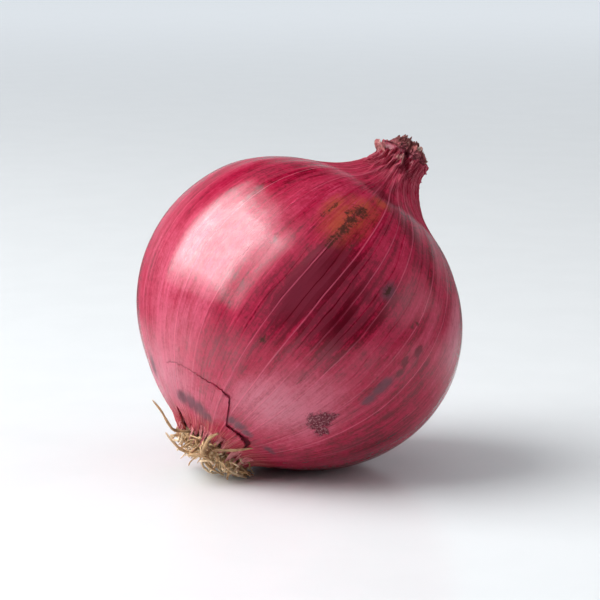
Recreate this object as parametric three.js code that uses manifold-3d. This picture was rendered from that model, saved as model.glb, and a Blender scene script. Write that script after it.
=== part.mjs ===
// A red onion lying tipped over on a small flat spot: the fleshy bulb, the dry papery skin round it with its
// crack and torn root edge, the root plate, the dried roots and the withered leaf ends in the neck.
// Millimetres and degrees. Each piece is made upright in the bulb's own frame, root end down, with its origin
// in the middle of the bulb. One group then leans them all over, so that +Z is up, the origin is the middle
// of the flat spot and the neck leans towards +X.
import * as THREE from "three";
import { mergeVertices } from "three/addons/utils/BufferGeometryUtils.js";
import Module from "manifold-3d";

const wasm = await Module();
wasm.setup();

// Driving dimensions. Heights and depths are counted along the bulb's axis from its middle.
const bulbDiameter = 80.4;
const rootDepth = 37; // to the skin's root edge
const rootOpeningDiameter = 21.4;
const shoulderHeight = 31; // to the place where the neck begins to rise
const shoulderDiameter = 40;
const shoulderSlope = 25.5; // of the outline at the shoulder, above level
const neckDiameter = 13.4;
const neckWaistHeight = 43.5; // to where the neck is straight
const neckHeight = 49; // to the neck's dry end
const neckFlare = 0.3; // how much wider its dry end is, on each side
const bulbNeckDrop = 2.5; // how far below the straight of the neck the flesh ends
const lean = 38; // of the axis, from upright
const restSpotDepth = 0.6; // how far the round of the bulb is pressed flat
const skinThickness = 0.5;
const clearance = 0.3; // between neighbouring pieces

const rootPlateDiameter = 17.4;
const rootPlateThickness = 2.4;
const rootPlateCrown = 0.8; // how far the middle of its underside stands out
const rootCount = 30;
const rootDiameter = 0.9;
const rootLength = 8.5;
const rootSpread = 6.5; // how far the outermost roots fan out
const rootTurn = 34; // how far a root winds round the axis
const rootSweep = 24; // how far the tuft bends up and away from the surface

const neckLeafThickness = 0.8;
const neckLeafGap = 0.4; // between the layers of leaf
const neckLeafRise = 2.2; // how far the tallest leaf stands out of the neck

// Shape factors of the bulb's outline: how full its curves are, as shares of the run that each one covers.
const rootRounding = { out: 0.39, up: 0.12 };
const lowerFullness = 0.58;
const upperFullness = 0.53;
const shoulderPull = { in: 9.4, out: 6.9 };
const waistPull = 0.42;

// The torn edges: how far their points reach, and how many waves of each kind go round.
const rootEdgeTear = 1.5;
const neckEdgeTear = 1.6;
const tearWaves = [
  { count: 9, share: 0.45, phase: 0.4 },
  { count: 14, share: 0.35, phase: 2.1 },
  { count: 5, share: 0.2, phase: 4.0 },
];
const tearHold = 12; // the higher, the closer the tear stays to its edge

// The crack: angle round the axis, distance along the skin from its root edge, and width.
const crack = [
  { angle: 187, reach: 15.5, width: 0.3 },
  { angle: 198, reach: 17, width: 0.35 },
  { angle: 212, reach: 17, width: 0.35 },
  { angle: 222, reach: 16.2, width: 0.4 },
  { angle: 231, reach: 16.5, width: 0.4 },
  { angle: 235, reach: 14.5, width: 0.45 },
  { angle: 237, reach: 10.5, width: 0.5 },
  { angle: 240, reach: 7, width: 0.9 },
  { angle: 252, reach: 5.6, width: 1.8 },
  { angle: 264, reach: 3.6, width: 2.2 },
  { angle: 272, reach: -3, width: 2.4 },
];

// How finely the round pieces are faceted.
const skinSides = 44;
const skinSteps = 32;
const neckCrowding = 1.4;
const plateSides = 24;
const rootSides = 6;
const rootSteps = 7;
const leafSteps = 4;
const leafStepAngle = 25;

const bulbRadius = bulbDiameter / 2;
const neckRadius = neckDiameter / 2;
const leanAngle = THREE.MathUtils.degToRad(lean);
const goldenAngle = Math.PI * (3 - Math.sqrt(5));

// Half of the skin's outline, from its root edge to its neck edge, as points of radius and height.
function makeOutline() {
  const rootEdge = new THREE.Vector2(rootOpeningDiameter / 2, -rootDepth);
  const girth = new THREE.Vector2(bulbRadius, 0);
  const shoulder = new THREE.Vector2(shoulderDiameter / 2, shoulderHeight);
  const waist = new THREE.Vector2(neckRadius, neckWaistHeight);
  const tip = new THREE.Vector2(neckRadius + neckFlare, neckHeight);
  const slope = THREE.MathUtils.degToRad(shoulderSlope);
  const inward = new THREE.Vector2(-Math.cos(slope), Math.sin(slope));
  const rootRun = girth.clone().sub(rootEdge);
  const path = new THREE.CurvePath();
  path.add(
    new THREE.CubicBezierCurve(
      rootEdge,
      new THREE.Vector2(
        rootEdge.x + rootRounding.out * rootRun.x,
        rootEdge.y + rootRounding.up * rootRun.y,
      ),
      new THREE.Vector2(bulbRadius, -lowerFullness * rootDepth),
      girth,
    ),
  );
  path.add(
    new THREE.CubicBezierCurve(
      girth,
      new THREE.Vector2(bulbRadius, upperFullness * shoulderHeight),
      shoulder.clone().addScaledVector(inward, -shoulderPull.in),
      shoulder,
    ),
  );
  path.add(
    new THREE.CubicBezierCurve(
      shoulder,
      shoulder.clone().addScaledVector(inward, shoulderPull.out),
      new THREE.Vector2(
        neckRadius,
        THREE.MathUtils.lerp(neckWaistHeight, shoulderHeight, waistPull),
      ),
      waist,
    ),
  );
  path.add(new THREE.LineCurve(waist, tip));
  return path;
}

const outline = makeOutline();
const outlineLength = outline.getLength();

// A point of the outline at a share of its length, set in from the skin's outer face.
function outlinePoint(share, inset) {
  const on = THREE.MathUtils.clamp(share, 0, 1);
  const tangent = outline.getTangent(on);
  const beyond = (share - on) * outlineLength;
  return outline
    .getPoint(on)
    .addScaledVector(tangent, beyond)
    .addScaledVector(new THREE.Vector2(-tangent.y, tangent.x), inset);
}

// The same point carried round the axis.
function skinPoint(angle, share, inset) {
  const p = outlinePoint(share, inset);
  return new THREE.Vector3(p.x * Math.cos(angle), p.x * Math.sin(angle), p.y);
}

// The lowest reach of the leaning outline, which the flat spot is pressed into.
function restPoint() {
  const probe = 400;
  let best = { depth: -Infinity, along: 0 };
  for (let i = 0; i <= probe; i += 1) {
    const p = outline.getPoint(i / probe);
    const depth = p.x * Math.sin(leanAngle) - p.y * Math.cos(leanAngle);
    const along = p.x * Math.cos(leanAngle) + p.y * Math.sin(leanAngle);
    if (depth > best.depth) best = { depth, along };
  }
  return best;
}

const rest = restPoint();
const placing = new THREE.Matrix4()
  .makeTranslation(-rest.along, 0, rest.depth - restSpotDepth)
  .multiply(new THREE.Matrix4().makeRotationY(leanAngle));
const unplacing = placing.clone().invert();

// Rings of points joined into one closed surface. Each ring runs anticlockwise seen from where the run goes.
// A looped run joins its last ring to its first, and any other is closed by a fan at both ends.
function ringSurface(rings, looped) {
  const sides = rings[0].length;
  const points = rings.flat();
  const faces = [];
  const last = looped ? rings.length : rings.length - 1;
  for (let i = 0; i < last; i += 1) {
    const here = i * sides;
    const next = ((i + 1) % rings.length) * sides;
    for (let j = 0; j < sides; j += 1) {
      const k = (j + 1) % sides;
      faces.push(here + j, here + k, next + k, here + j, next + k, next + j);
    }
  }
  if (!looped) {
    capRing(points, faces, 0, sides, true);
    capRing(points, faces, (rings.length - 1) * sides, sides, false);
  }
  const geometry = new THREE.BufferGeometry().setFromPoints(points);
  geometry.setIndex(faces);
  return geometry;
}

// A fan of triangles from the middle of one ring, facing back or forward along the run.
function capRing(points, faces, first, sides, facesBack) {
  const middle = new THREE.Vector3();
  for (let j = 0; j < sides; j += 1) middle.addScaledVector(points[first + j], 1 / sides);
  points.push(middle);
  const centre = points.length - 1;
  for (let j = 0; j < sides; j += 1) {
    const here = first + j;
    const next = first + ((j + 1) % sides);
    if (facesBack) faces.push(centre, next, here);
    else faces.push(centre, here, next);
  }
}

// A closed geometry as a solid that can be cut and joined, and a solid as a geometry again.
function toSolid(geometry) {
  const bare = geometry.clone();
  bare.deleteAttribute("normal");
  bare.deleteAttribute("uv");
  const merged = mergeVertices(bare);
  return new wasm.Manifold(
    new wasm.Mesh({
      numProp: 3,
      vertProperties: merged.attributes.position.array,
      triVerts: new Uint32Array(merged.index.array),
    }),
  );
}

function toGeometry(solid) {
  const mesh = solid.getMesh();
  const geometry = new THREE.BufferGeometry();
  geometry.setAttribute("position", new THREE.BufferAttribute(mesh.vertProperties, 3));
  geometry.setIndex(new THREE.BufferAttribute(mesh.triVerts, 1));
  geometry.computeVertexNormals();
  return geometry;
}

// Everything below a level of the surface that the onion lies on, in the bulb's own frame.
function groundUpTo(level) {
  const size = 4 * (bulbDiameter + neckHeight);
  return new THREE.BoxGeometry(size, size, size)
    .translate(0, 0, level - size / 2)
    .applyMatrix4(unplacing);
}

// A ragged wave round the axis between 0 and 1.
function tear(angle, turn) {
  const wave = tearWaves.reduce(
    (sum, w) => sum + w.share * Math.sin(w.count * angle + w.phase + turn),
    0,
  );
  return (1 + wave) / 2;
}

// A wall round the axis as rings from the root edge to the neck edge, set in from the skin's outer face.
// Its rows lie closer together towards the neck, where the outline bends most. The torn share says how much
// of the tear its edges show.
function wallRings(inset, torn) {
  const rings = [];
  for (let i = 0; i <= skinSteps; i += 1) {
    const t = 1 - (1 - i / skinSteps) ** neckCrowding;
    const ring = [];
    for (let j = 0; j < skinSides; j += 1) {
      const angle = (2 * Math.PI * j) / skinSides;
      const rootTear = rootEdgeTear * tear(angle, 0) * (1 - t) ** tearHold;
      const neckTear = neckEdgeTear * tear(angle, 1) * t ** tearHold;
      const share = t + (torn * (rootTear - neckTear)) / outlineLength;
      ring.push(skinPoint(angle, share, inset));
    }
    rings.push(ring);
  }
  return rings;
}

// The crack as a thin wall that follows its points and goes right through the skin.
function crackCutter() {
  const places = crack.map((c) => {
    const angle = THREE.MathUtils.degToRad(c.angle);
    const share = c.reach / outlineLength;
    const outer = skinPoint(angle, share, -2 * skinThickness);
    const inner = skinPoint(angle, share, 3 * skinThickness);
    return { outer, inner, width: c.width };
  });
  const rings = places.map((here, i) => {
    const before = places[Math.max(i - 1, 0)];
    const after = places[Math.min(i + 1, places.length - 1)];
    const along = after.outer.clone().sub(before.outer);
    const out = here.outer.clone().sub(here.inner);
    const side = along.cross(out).normalize().multiplyScalar(here.width / 2);
    return [
      here.inner.clone().sub(side),
      here.outer.clone().sub(side),
      here.outer.clone().add(side),
      here.inner.clone().add(side),
    ];
  });
  return toSolid(ringSurface(rings, false));
}

// The dry skin: two walls, kept full thickness over the flat spot, with the crack cut through.
function outerSkin() {
  const rings = [...wallRings(0, 1), ...wallRings(skinThickness, 1).reverse()];
  const shell = toSolid(ringSurface(rings, true));
  const filled = toSolid(ringSurface(wallRings(0, 1), false));
  const pad = filled.intersect(toSolid(groundUpTo(skinThickness)));
  const pressed = shell.add(pad).subtract(toSolid(groundUpTo(0)));
  return toGeometry(pressed.subtract(crackCutter()));
}

// The fleshy bulb: it fills the skin with a small gap, from the root plate to the foot of the neck leaves.
const bulbInset = skinThickness + clearance;
const bulbTop = neckWaistHeight - bulbNeckDrop;

function bulb() {
  const round = toSolid(ringSurface(wallRings(bulbInset, 0), false));
  const size = 2 * bulbDiameter;
  const above = new THREE.BoxGeometry(size, size, size).translate(0, 0, bulbTop + size / 2);
  return toGeometry(round.subtract(toSolid(above)).subtract(toSolid(groundUpTo(bulbInset))));
}

// The root plate: a shallow corky disc with a rounded rim, crowned towards the roots.
const plateRadius = rootPlateDiameter / 2;
const plateTop = outlinePoint(0, bulbInset).y - clearance;

function plateUnderside(radius) {
  const share = radius / plateRadius;
  return plateTop - rootPlateThickness - rootPlateCrown * (1 - share * share);
}

function rootPlate() {
  const rim = 0.3 * rootPlateThickness;
  const profile = [new THREE.Vector2(0, plateUnderside(0))];
  for (const share of [0.4, 0.75, 0.92]) {
    profile.push(new THREE.Vector2(share * plateRadius, plateUnderside(share * plateRadius)));
  }
  profile.push(new THREE.Vector2(plateRadius, plateTop - rootPlateThickness + rim));
  profile.push(new THREE.Vector2(plateRadius, plateTop - rim));
  profile.push(new THREE.Vector2(plateRadius - rim, plateTop));
  profile.push(new THREE.Vector2(0, plateTop));
  return new THREE.LatheGeometry(profile, plateSides).rotateX(Math.PI / 2);
}

// How far a root's tilted upper end stands above the end of its middle line.
const rootTopRise = (rootDiameter / 2) * Math.sin(THREE.MathUtils.degToRad(rootSweep));

// A root's middle line: it leaves the plate, fans outwards, winds a little round the axis and bends with the
// whole tuft towards -X, away from the side that lies down.
function rootPoint(index, s) {
  const share = Math.sqrt((index + 0.5) / rootCount);
  const start = share * (plateRadius - rootDiameter);
  const long = rootLength * (1 + 0.25 * Math.sin(index * goldenAngle * 2));
  const radius = start + rootSpread * share * s * s;
  const angle = index * goldenAngle + THREE.MathUtils.degToRad(rootTurn) * share * s * s;
  const drop = long * (s - 0.3 * share * s * s);
  const sweep = drop * Math.tan(THREE.MathUtils.degToRad(rootSweep));
  return new THREE.Vector3(
    radius * Math.cos(angle) - sweep,
    radius * Math.sin(angle),
    plateUnderside(start) - rootTopRise - clearance - drop,
  );
}

// How far along its middle line a root can grow before it meets the surface below it.
function rootReach(index) {
  const probe = 60;
  const lowest = rootDiameter / 2 + clearance;
  for (let i = 0; i <= probe; i += 1) {
    if (rootPoint(index, i / probe).applyMatrix4(placing).z < lowest) return (i - 1) / probe;
  }
  return 1;
}

function root(index) {
  const reach = rootReach(index);
  const points = [];
  for (let i = 0; i <= rootSteps; i += 1) points.push(rootPoint(index, (reach * i) / rootSteps));
  const section = new THREE.Shape();
  for (let j = 0; j < rootSides; j += 1) {
    const turn = (2 * Math.PI * j) / rootSides;
    const corner = [(rootDiameter / 2) * Math.cos(turn), (rootDiameter / 2) * Math.sin(turn)];
    if (j === 0) section.moveTo(...corner);
    else section.lineTo(...corner);
  }
  section.closePath();
  return new THREE.ExtrudeGeometry(section, {
    steps: rootSteps,
    bevelEnabled: false,
    extrudePath: new THREE.CatmullRomCurve3(points),
  });
}

// The withered leaf ends, layer by layer inwards: how many share each layer, and how far each one reaches round.
const neckLayers = [
  { leaves: 3, arc: 102 },
  { leaves: 2, arc: 150 },
  { leaves: 1, arc: 290 },
  { leaves: 1, arc: 270 },
];
const leafFoot = bulbTop + clearance;

// One withered leaf end: an upright curved strip whose tip is torn, as upright sections carried round the axis.
function neckLeaf(layer, place) {
  const { leaves, arc } = neckLayers[layer];
  const outer = neckRadius - bulbInset - layer * (neckLeafThickness + neckLeafGap);
  const inner = outer - neckLeafThickness;
  const first = (2 * Math.PI * place) / leaves + layer * goldenAngle;
  const arcSteps = Math.ceil(arc / leafStepAngle);
  const rings = [];
  for (let j = 0; j <= arcSteps; j += 1) {
    const across = j / arcSteps;
    const angle = first + THREE.MathUtils.degToRad(arc) * across;
    const ring = [];
    for (let i = leafSteps; i >= 0; i -= 1) ring.push(leafPoint(outer, angle, across, i / leafSteps));
    for (let i = 0; i <= leafSteps; i += 1) ring.push(leafPoint(inner, angle, across, i / leafSteps));
    rings.push(ring);
  }
  return ringSurface(rings, false);
}

function leafPoint(radius, angle, across, t) {
  const tip = neckHeight + neckLeafRise * (tear(angle, 2) - (2 * across - 1) ** 2);
  return new THREE.Vector3(
    radius * Math.cos(angle),
    radius * Math.sin(angle),
    THREE.MathUtils.lerp(leafFoot, tip, t),
  );
}

const materials = {
  flesh: new THREE.MeshStandardMaterial({ color: 0x5e1022, roughness: 0.45, metalness: 0 }),
  skin: new THREE.MeshStandardMaterial({ color: 0x9a2143, roughness: 0.32, metalness: 0 }),
  cork: new THREE.MeshStandardMaterial({ color: 0x8a6a45, roughness: 0.9, metalness: 0 }),
  root: new THREE.MeshStandardMaterial({ color: 0xc5a06e, roughness: 0.8, metalness: 0 }),
  driedLeaf: new THREE.MeshStandardMaterial({ color: 0x7c3b42, roughness: 0.75, metalness: 0 }),
};

const onion = new THREE.Group();
placing.decompose(onion.position, onion.quaternion, onion.scale);

function addPiece(name, geometry, material) {
  const piece = new THREE.Mesh(geometry, material);
  piece.name = name;
  onion.add(piece);
}

addPiece("bulb", bulb(), materials.flesh);
addPiece("outer_skin", outerSkin(), materials.skin);
addPiece("root_plate", rootPlate(), materials.cork);
for (let i = 0; i < rootCount; i += 1) {
  addPiece(`root_${String(i + 1).padStart(2, "0")}`, root(i), materials.root);
}
let leafNumber = 0;
neckLayers.forEach(({ leaves }, layer) => {
  for (let place = 0; place < leaves; place += 1) {
    leafNumber += 1;
    addPiece(`neck_leaf_${leafNumber}`, neckLeaf(layer, place), materials.driedLeaf);
  }
});

export default onion;
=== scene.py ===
"""A red onion lying tipped over on a small flat spot: papery skin with a crack, the bulb, roots and neck.

Every piece is a surface worked out from two parameters: the turn round the onion's axis, in radians, and the
reach along its outline from the root edge. Shapes are in millimetres of the design, in the bulb's own frame
(root end down, origin in the middle of the bulb); place() scales them and leans them over into the frame.
"""
import math

import bpy
import numpy as np
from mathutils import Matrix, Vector


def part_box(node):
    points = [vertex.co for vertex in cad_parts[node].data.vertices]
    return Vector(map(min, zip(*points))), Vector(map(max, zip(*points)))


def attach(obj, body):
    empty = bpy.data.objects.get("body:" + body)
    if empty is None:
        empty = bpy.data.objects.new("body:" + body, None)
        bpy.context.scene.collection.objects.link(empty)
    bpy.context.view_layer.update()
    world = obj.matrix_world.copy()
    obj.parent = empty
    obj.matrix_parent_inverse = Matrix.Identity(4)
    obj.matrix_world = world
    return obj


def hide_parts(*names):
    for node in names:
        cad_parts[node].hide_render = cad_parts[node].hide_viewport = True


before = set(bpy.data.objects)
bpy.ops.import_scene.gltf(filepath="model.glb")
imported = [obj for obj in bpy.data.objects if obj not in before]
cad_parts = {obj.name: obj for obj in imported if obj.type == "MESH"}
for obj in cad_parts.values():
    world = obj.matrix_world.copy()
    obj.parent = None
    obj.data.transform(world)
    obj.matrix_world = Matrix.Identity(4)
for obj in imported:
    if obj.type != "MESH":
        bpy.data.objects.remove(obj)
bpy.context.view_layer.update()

# ---------------------------------------------------------------- sizes, in design millimetres and radians
FULL_TURN = 2 * math.pi
GIRTH_RADIUS = 40.2
ROOT_DEPTH = 37.0
ROOT_OPENING_RADIUS = 10.7
SHOULDER_HEIGHT = 31.0
SHOULDER_RADIUS = 20.0
SHOULDER_SLOPE = math.radians(25.5)
NECK_RADIUS = 6.7
WAIST_HEIGHT = 43.5
NECK_HEIGHT = 49.0
NECK_FLARE = 0.3
SKIN_THICKNESS = 0.35
SKIN_TO_BULB = 0.8
GAP = 0.3  # between neighbouring pieces
VEIN_TWIST = math.radians(0.165)  # how far a vein turns for each millimetre that it climbs


# ---------------------------------------------------------------- curves and waves


def smooth_step(low, high, value):
    """0 below low, 1 above high and a smooth climb between them."""
    share = np.clip((value - low) / (high - low), 0, 1)
    return share * share * (3 - 2 * share)


def bell(value, middle, width):
    """1 in the middle, falling away on both sides like a bell of that width."""
    return np.exp(-(((value - middle) / width) ** 2))


def turn_gap(turn, middle):
    """The shorter way round from middle to turn, from -pi to pi."""
    return (turn - middle + math.pi) % FULL_TURN - math.pi


def waves(turn, reach, counts, lengths, seed):
    """The mean of sine waves, each a whole count of times round the axis and once in a length of reach."""
    phases = np.random.default_rng(seed).uniform(0, FULL_TURN, len(counts))
    crests = [
        np.sin(count * turn + FULL_TURN * reach / length + phase)
        for count, length, phase in zip(counts, lengths, phases)
    ]
    return sum(crests) / len(crests)


def ring_waves(turn, counts, seed):
    """Waves that change only round the axis."""
    return waves(turn, 0.0, counts, (1.0,) * len(counts), seed)


def round_bell(turn, middle, width):
    """A bell round the axis; its middle and width are in degrees."""
    return bell(turn_gap(turn, math.radians(middle)), 0, math.radians(width))


def folds(phase):
    """Folds, from 1 on a narrow ridge to -1 in a valley: a sine wave without its sign, turned over."""
    return 1 - 2 * np.abs(np.sin(phase)) ** 0.8


def bezier(a, b, c, d, count):
    """A cubic curve from a to d that leaves towards b and arrives from c, as count points."""
    t = np.linspace(0, 1, count)[:, None]
    a, b, c, d = (np.array(p, float) for p in (a, b, c, d))
    return (1 - t) ** 3 * a + 3 * t * (1 - t) ** 2 * b + 3 * t**2 * (1 - t) * c + t**3 * d


def smooth_path(points, count):
    """A path through points, as count places: a Catmull-Rom curve, which slopes as its neighbours do."""
    p = np.array(points, float)
    p = np.vstack([2 * p[0] - p[1], p, 2 * p[-1] - p[-2]])
    t = np.linspace(0, len(points) - 1, count)
    k = np.minimum(t.astype(int), len(points) - 2)
    f = (t - k)[:, None]
    a, b, c, d = p[k], p[k + 1], p[k + 2], p[k + 3]
    return 0.5 * (2 * b + (c - a) * f + (2 * a - 5 * b + 4 * c - d) * f**2 + (3 * b - a - 3 * c + d) * f**3)


def round_points(radius, turn, height):
    """Points at a radius from the axis, a turn round it and a height."""
    return np.stack(np.broadcast_arrays(radius * np.cos(turn), radius * np.sin(turn), height), -1)


# ---------------------------------------------------------------- the outline


def make_outline():
    """Half of the onion's outline as (radius, height) points: three cubic curves and a straight neck."""
    root_run = GIRTH_RADIUS - ROOT_OPENING_RADIUS
    inward = np.array([-math.cos(SHOULDER_SLOPE), math.sin(SHOULDER_SLOPE)])
    root_edge = (ROOT_OPENING_RADIUS, -ROOT_DEPTH)
    root_pull = (ROOT_OPENING_RADIUS + 0.39 * root_run, -0.88 * ROOT_DEPTH)
    girth = (GIRTH_RADIUS, 0)
    shoulder = np.array([SHOULDER_RADIUS, SHOULDER_HEIGHT])
    waist = (NECK_RADIUS, WAIST_HEIGHT)
    waist_pull = (NECK_RADIUS, WAIST_HEIGHT + 0.42 * (SHOULDER_HEIGHT - WAIST_HEIGHT))
    lower = bezier(root_edge, root_pull, (GIRTH_RADIUS, -0.58 * ROOT_DEPTH), girth, 900)
    upper = bezier(girth, (GIRTH_RADIUS, 0.53 * SHOULDER_HEIGHT), shoulder - 9.4 * inward, shoulder, 900)
    rise = bezier(shoulder, shoulder + 6.9 * inward, waist_pull, waist, 500)
    neck = np.linspace(waist, (NECK_RADIUS + NECK_FLARE, NECK_HEIGHT), 100)
    return np.vstack([lower, upper[1:], rise[1:], neck[1:]])


OUTLINE = make_outline()
OUTLINE_REACH = np.concatenate([[0], np.cumsum(np.linalg.norm(np.diff(OUTLINE, axis=0), axis=1))])
OUTLINE_LENGTH = OUTLINE_REACH[-1]
OUTLINE_RUN = np.gradient(OUTLINE, OUTLINE_REACH, axis=0)


def outline_at(reach):
    """Radius, height and outward normal (radial, upward) at a reach; it runs straight on past its ends."""
    on = np.clip(reach, 0, OUTLINE_LENGTH)
    columns = (OUTLINE[:, 0], OUTLINE[:, 1], OUTLINE_RUN[:, 0], OUTLINE_RUN[:, 1])
    radius, height, out, up = (np.interp(on, OUTLINE_REACH, column) for column in columns)
    size = np.hypot(out, up)
    out, up = out / size, up / size
    beyond = reach - on
    return radius + beyond * out, height + beyond * up, up, -out


def reach_at(height):
    """The reach at which the outline passes a height."""
    return np.interp(height, OUTLINE[:, 1], OUTLINE_REACH)


def round_axis(turn, reach, lift):
    """A point of the onion: the outline carried round the axis and raised along its normal by lift."""
    radius, height, normal_out, normal_up = outline_at(reach)
    return round_points(radius + lift * normal_out, turn, height + lift * normal_up)


# ---------------------------------------------------------------- the onion's place, read from the frame


def node_points(name):
    """The different vertices of a CAD node as an array, in metres."""
    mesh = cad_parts[name].data
    flat = np.empty(3 * len(mesh.vertices))
    mesh.vertices.foreach_get("co", flat)
    return np.unique(np.round(flat.reshape(-1, 3), 7), axis=0)


def plate_frame():
    """The root plate's top middle and the onion's axis, which is the plate's thinnest direction."""
    points = node_points("root_plate")
    middle = points.mean(0)
    axis = np.linalg.eigh(np.cov((points - middle).T))[1][:, 0]
    axis = axis * np.sign(axis[2])
    return middle + axis * ((points - middle) @ axis).max(), axis


SKIN_LOW, SKIN_HIGH = (np.array(corner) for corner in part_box("outer_skin"))
UNIT = (SKIN_HIGH[1] - SKIN_LOW[1]) / (2 * GIRTH_RADIUS)
PLATE_TOP, AXIS = plate_frame()
PLATE_TOP_HEIGHT = float(round_axis(0.0, 0.0, -SKIN_TO_BULB)[2]) - GAP
MIDDLE = PLATE_TOP - AXIS * PLATE_TOP_HEIGHT * UNIT
DOWN_SIDE = np.array([AXIS[2], 0.0, -AXIS[0]])


def place(points, lowest=0.0):
    """From the bulb's frame in millimetres to the leaning onion in the row frame, in metres.

    What would come lower than lowest, in millimetres above the surface it lies on, is pressed flat there.
    """
    x, y, z = points[..., 0:1], points[..., 1:2], points[..., 2:3]
    placed = MIDDLE + UNIT * (x * DOWN_SIDE + y * np.array([0.0, 1.0, 0.0]) + z * AXIS)
    placed[..., 2] = np.maximum(placed[..., 2], lowest * UNIT)
    return placed


# ---------------------------------------------------------------- meshes


def grid_quads(rows, columns, closed=True):
    """The faces between a grid's neighbouring rows and columns; closed joins its last column to its first."""
    row, column = np.mgrid[0 : rows - 1, 0 : columns if closed else columns - 1]
    right = (column + 1) % columns
    here, above = row * columns, (row + 1) * columns
    return np.stack([here + column, here + right, above + right, above + column], -1).reshape(-1, 4)


def close_ends(rings, ends):
    """A closed round body from rings of points and the middle of each end: quads, and a fan at each end."""
    rows, columns = rings.shape[:2]
    count = rows * columns
    last = count - columns
    first = np.arange(columns)
    following = (first + 1) % columns
    foot = np.stack([following, first, np.full(columns, count)], -1)
    head = np.stack([last + first, last + following, np.full(columns, count + 1)], -1)
    faces = grid_quads(rows, columns).tolist() + foot.tolist() + head.tolist()
    return np.vstack([rings.reshape(-1, 3), ends]), faces


def thicken(outer, inner, quads):
    """Gives a sheet a wall: its faces again on the inner points, turned, and a strip along open edges."""
    count = len(outer)
    edges = np.concatenate([quads[:, [i, (i + 1) % 4]] for i in range(4)])
    ahead = edges[:, 0] * count + edges[:, 1]
    back = edges[:, 1] * count + edges[:, 0]
    edge = edges[~np.isin(ahead, back)]
    strip = np.stack([edge[:, 1], edge[:, 0], edge[:, 0] + count, edge[:, 1] + count], -1)
    return np.vstack([outer, inner]), np.vstack([quads, quads[:, ::-1] + count, strip]), len(strip)


def add_piece(name, points, faces, material, replaced=(), flat_faces=0):
    """A mesh object that rides on the onion, shaded smooth but for the last flat_faces of its faces."""
    mesh = bpy.data.meshes.new(name)
    mesh.from_pydata(points.tolist(), [], faces)
    mesh.update()
    flat = np.zeros(len(mesh.polygons), bool)
    if flat_faces:
        flat[-flat_faces:] = True
    mesh.polygons.foreach_set("use_smooth", ~flat)
    mesh.materials.append(material)
    piece = bpy.data.objects.new(name, mesh)
    bpy.context.scene.collection.objects.link(piece)
    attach(piece, "root")
    if replaced:
        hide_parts(*replaced)
    return piece


def set_attribute(piece, name, values):
    """Stores one number (or three) for each vertex of a piece, for its material to read."""
    kind, field = ("FLOAT", "value") if values.ndim == 1 else ("FLOAT_VECTOR", "vector")
    attribute = piece.data.attributes.new(name, kind, "POINT")
    attribute.data.foreach_set(field, np.ascontiguousarray(values, np.float32).ravel())


def set_uv(piece, name, corner_values):
    """Stores a UV map from an array with one (u, v) for each corner of each face."""
    layer = piece.data.uv_layers.new(name=name)
    layer.uv.foreach_set("vector", np.ascontiguousarray(corner_values, np.float32).ravel())


STREAK_START = 65  # where the streaks of the leaves, scraps and fringe start, below the bulb's middle


def streak_vector(turn, way):
    """What the streak patterns read: the turn as a point of a circle, and the way along over 100."""
    return np.stack([np.cos(turn), np.sin(turn), way / 100], -1)


def points_streak(points):
    """The streak vector of points in the bulb's frame."""
    return streak_vector(np.arctan2(points[:, 1], points[:, 0]), points[:, 2] + STREAK_START)


# ---------------------------------------------------------------- the skin's veins, crack, edges and marks

VEIN_TURNS = np.radians(
    (176, 188, 200, 213.8, 225.2, 234.2, 244.2, 253, 262.3, 277.1, 289, 303, 316, 327, 340)
    + (352, 365, 377, 391, 402, 415, 428, 439, 452, 466, 478, 490, 503, 516, 526)
)
VEINS = len(VEIN_TURNS)
FRONT_START = math.radians(176)
FRONT_END = math.radians(286)
FRONT_COLUMNS = 244
BACK_COLUMNS = 108

# The crack, as (turn in degrees, height): the edge of the flap below it, and the edge of the skin above it.
FLAP_EDGE = (
    (187, -29.45), (192, -28.95), (197, -28.7), (204, -28.72), (211, -28.68), (217, -28.88),
    (223, -28.72), (229, -28.85), (233.8, -29.35), (235.3, -30.7), (237.0, -32.05), (238.1, -33.3),
    (240.2, -34.4), (247, -34.45), (256, -34.7), (264, -35.2), (267.8, -35.8), (272, -37.6),
)
SKIN_EDGE = (
    (187, -29.42), (192, -28.9), (197, -28.6), (204, -28.62), (211, -28.56), (217, -28.76), (223, -28.59),
    (229, -28.7), (234.1, -29.1), (235.6, -30.4), (237.3, -31.8), (238.6, -33.1), (240.5, -34.1),
    (250, -34.25), (260, -34.1), (266, -34.5), (270, -35.6), (275, -37.6),
)
CRACK_START = math.radians(187)
FLAP_END = math.radians(272)
CRACK_END = math.radians(276)

# Slits torn into the root edge: (turn in degrees, how far up they reach, half of their width in degrees).
RIM_SLITS = (
    (183.5, 5.8, 9.5), (197, 2.6, 2.0), (206, 1.6, 1.4), (213, 3.8, 2.4), (221, 2.2, 1.8),
    (230, 3.4, 2.4), (238, 1.6, 1.4), (246, 2.8, 2.2), (254, 1.8, 1.6), (262, 2.4, 1.8), (284, 3.0, 3.0),
    (299, 1.8, 3.0), (318, 3.4, 4.5), (336, 2.0, 3.5), (357, 3.2, 5.0), (379, 2.2, 4.0), (398, 3.6, 4.5),
    (417, 1.8, 3.5), (437, 3.0, 5.0), (458, 2.4, 4.0), (477, 3.6, 5.0), (496, 2.0, 3.5), (516, 2.8, 4.5),
)


def along_vein(turn, height):
    """The turn at which the vein through a point meets the girth: veins wind a little as they climb."""
    return turn - VEIN_TWIST * height


def vein_number(turn, height):
    """Which vein a point is on: whole numbers on the veins, fractions between them, growing with the turn."""
    turns = np.concatenate([VEIN_TURNS - FULL_TURN, VEIN_TURNS, VEIN_TURNS + FULL_TURN])
    return np.interp(along_vein(turn, height), turns, np.arange(-VEINS, 2 * VEINS))


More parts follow.
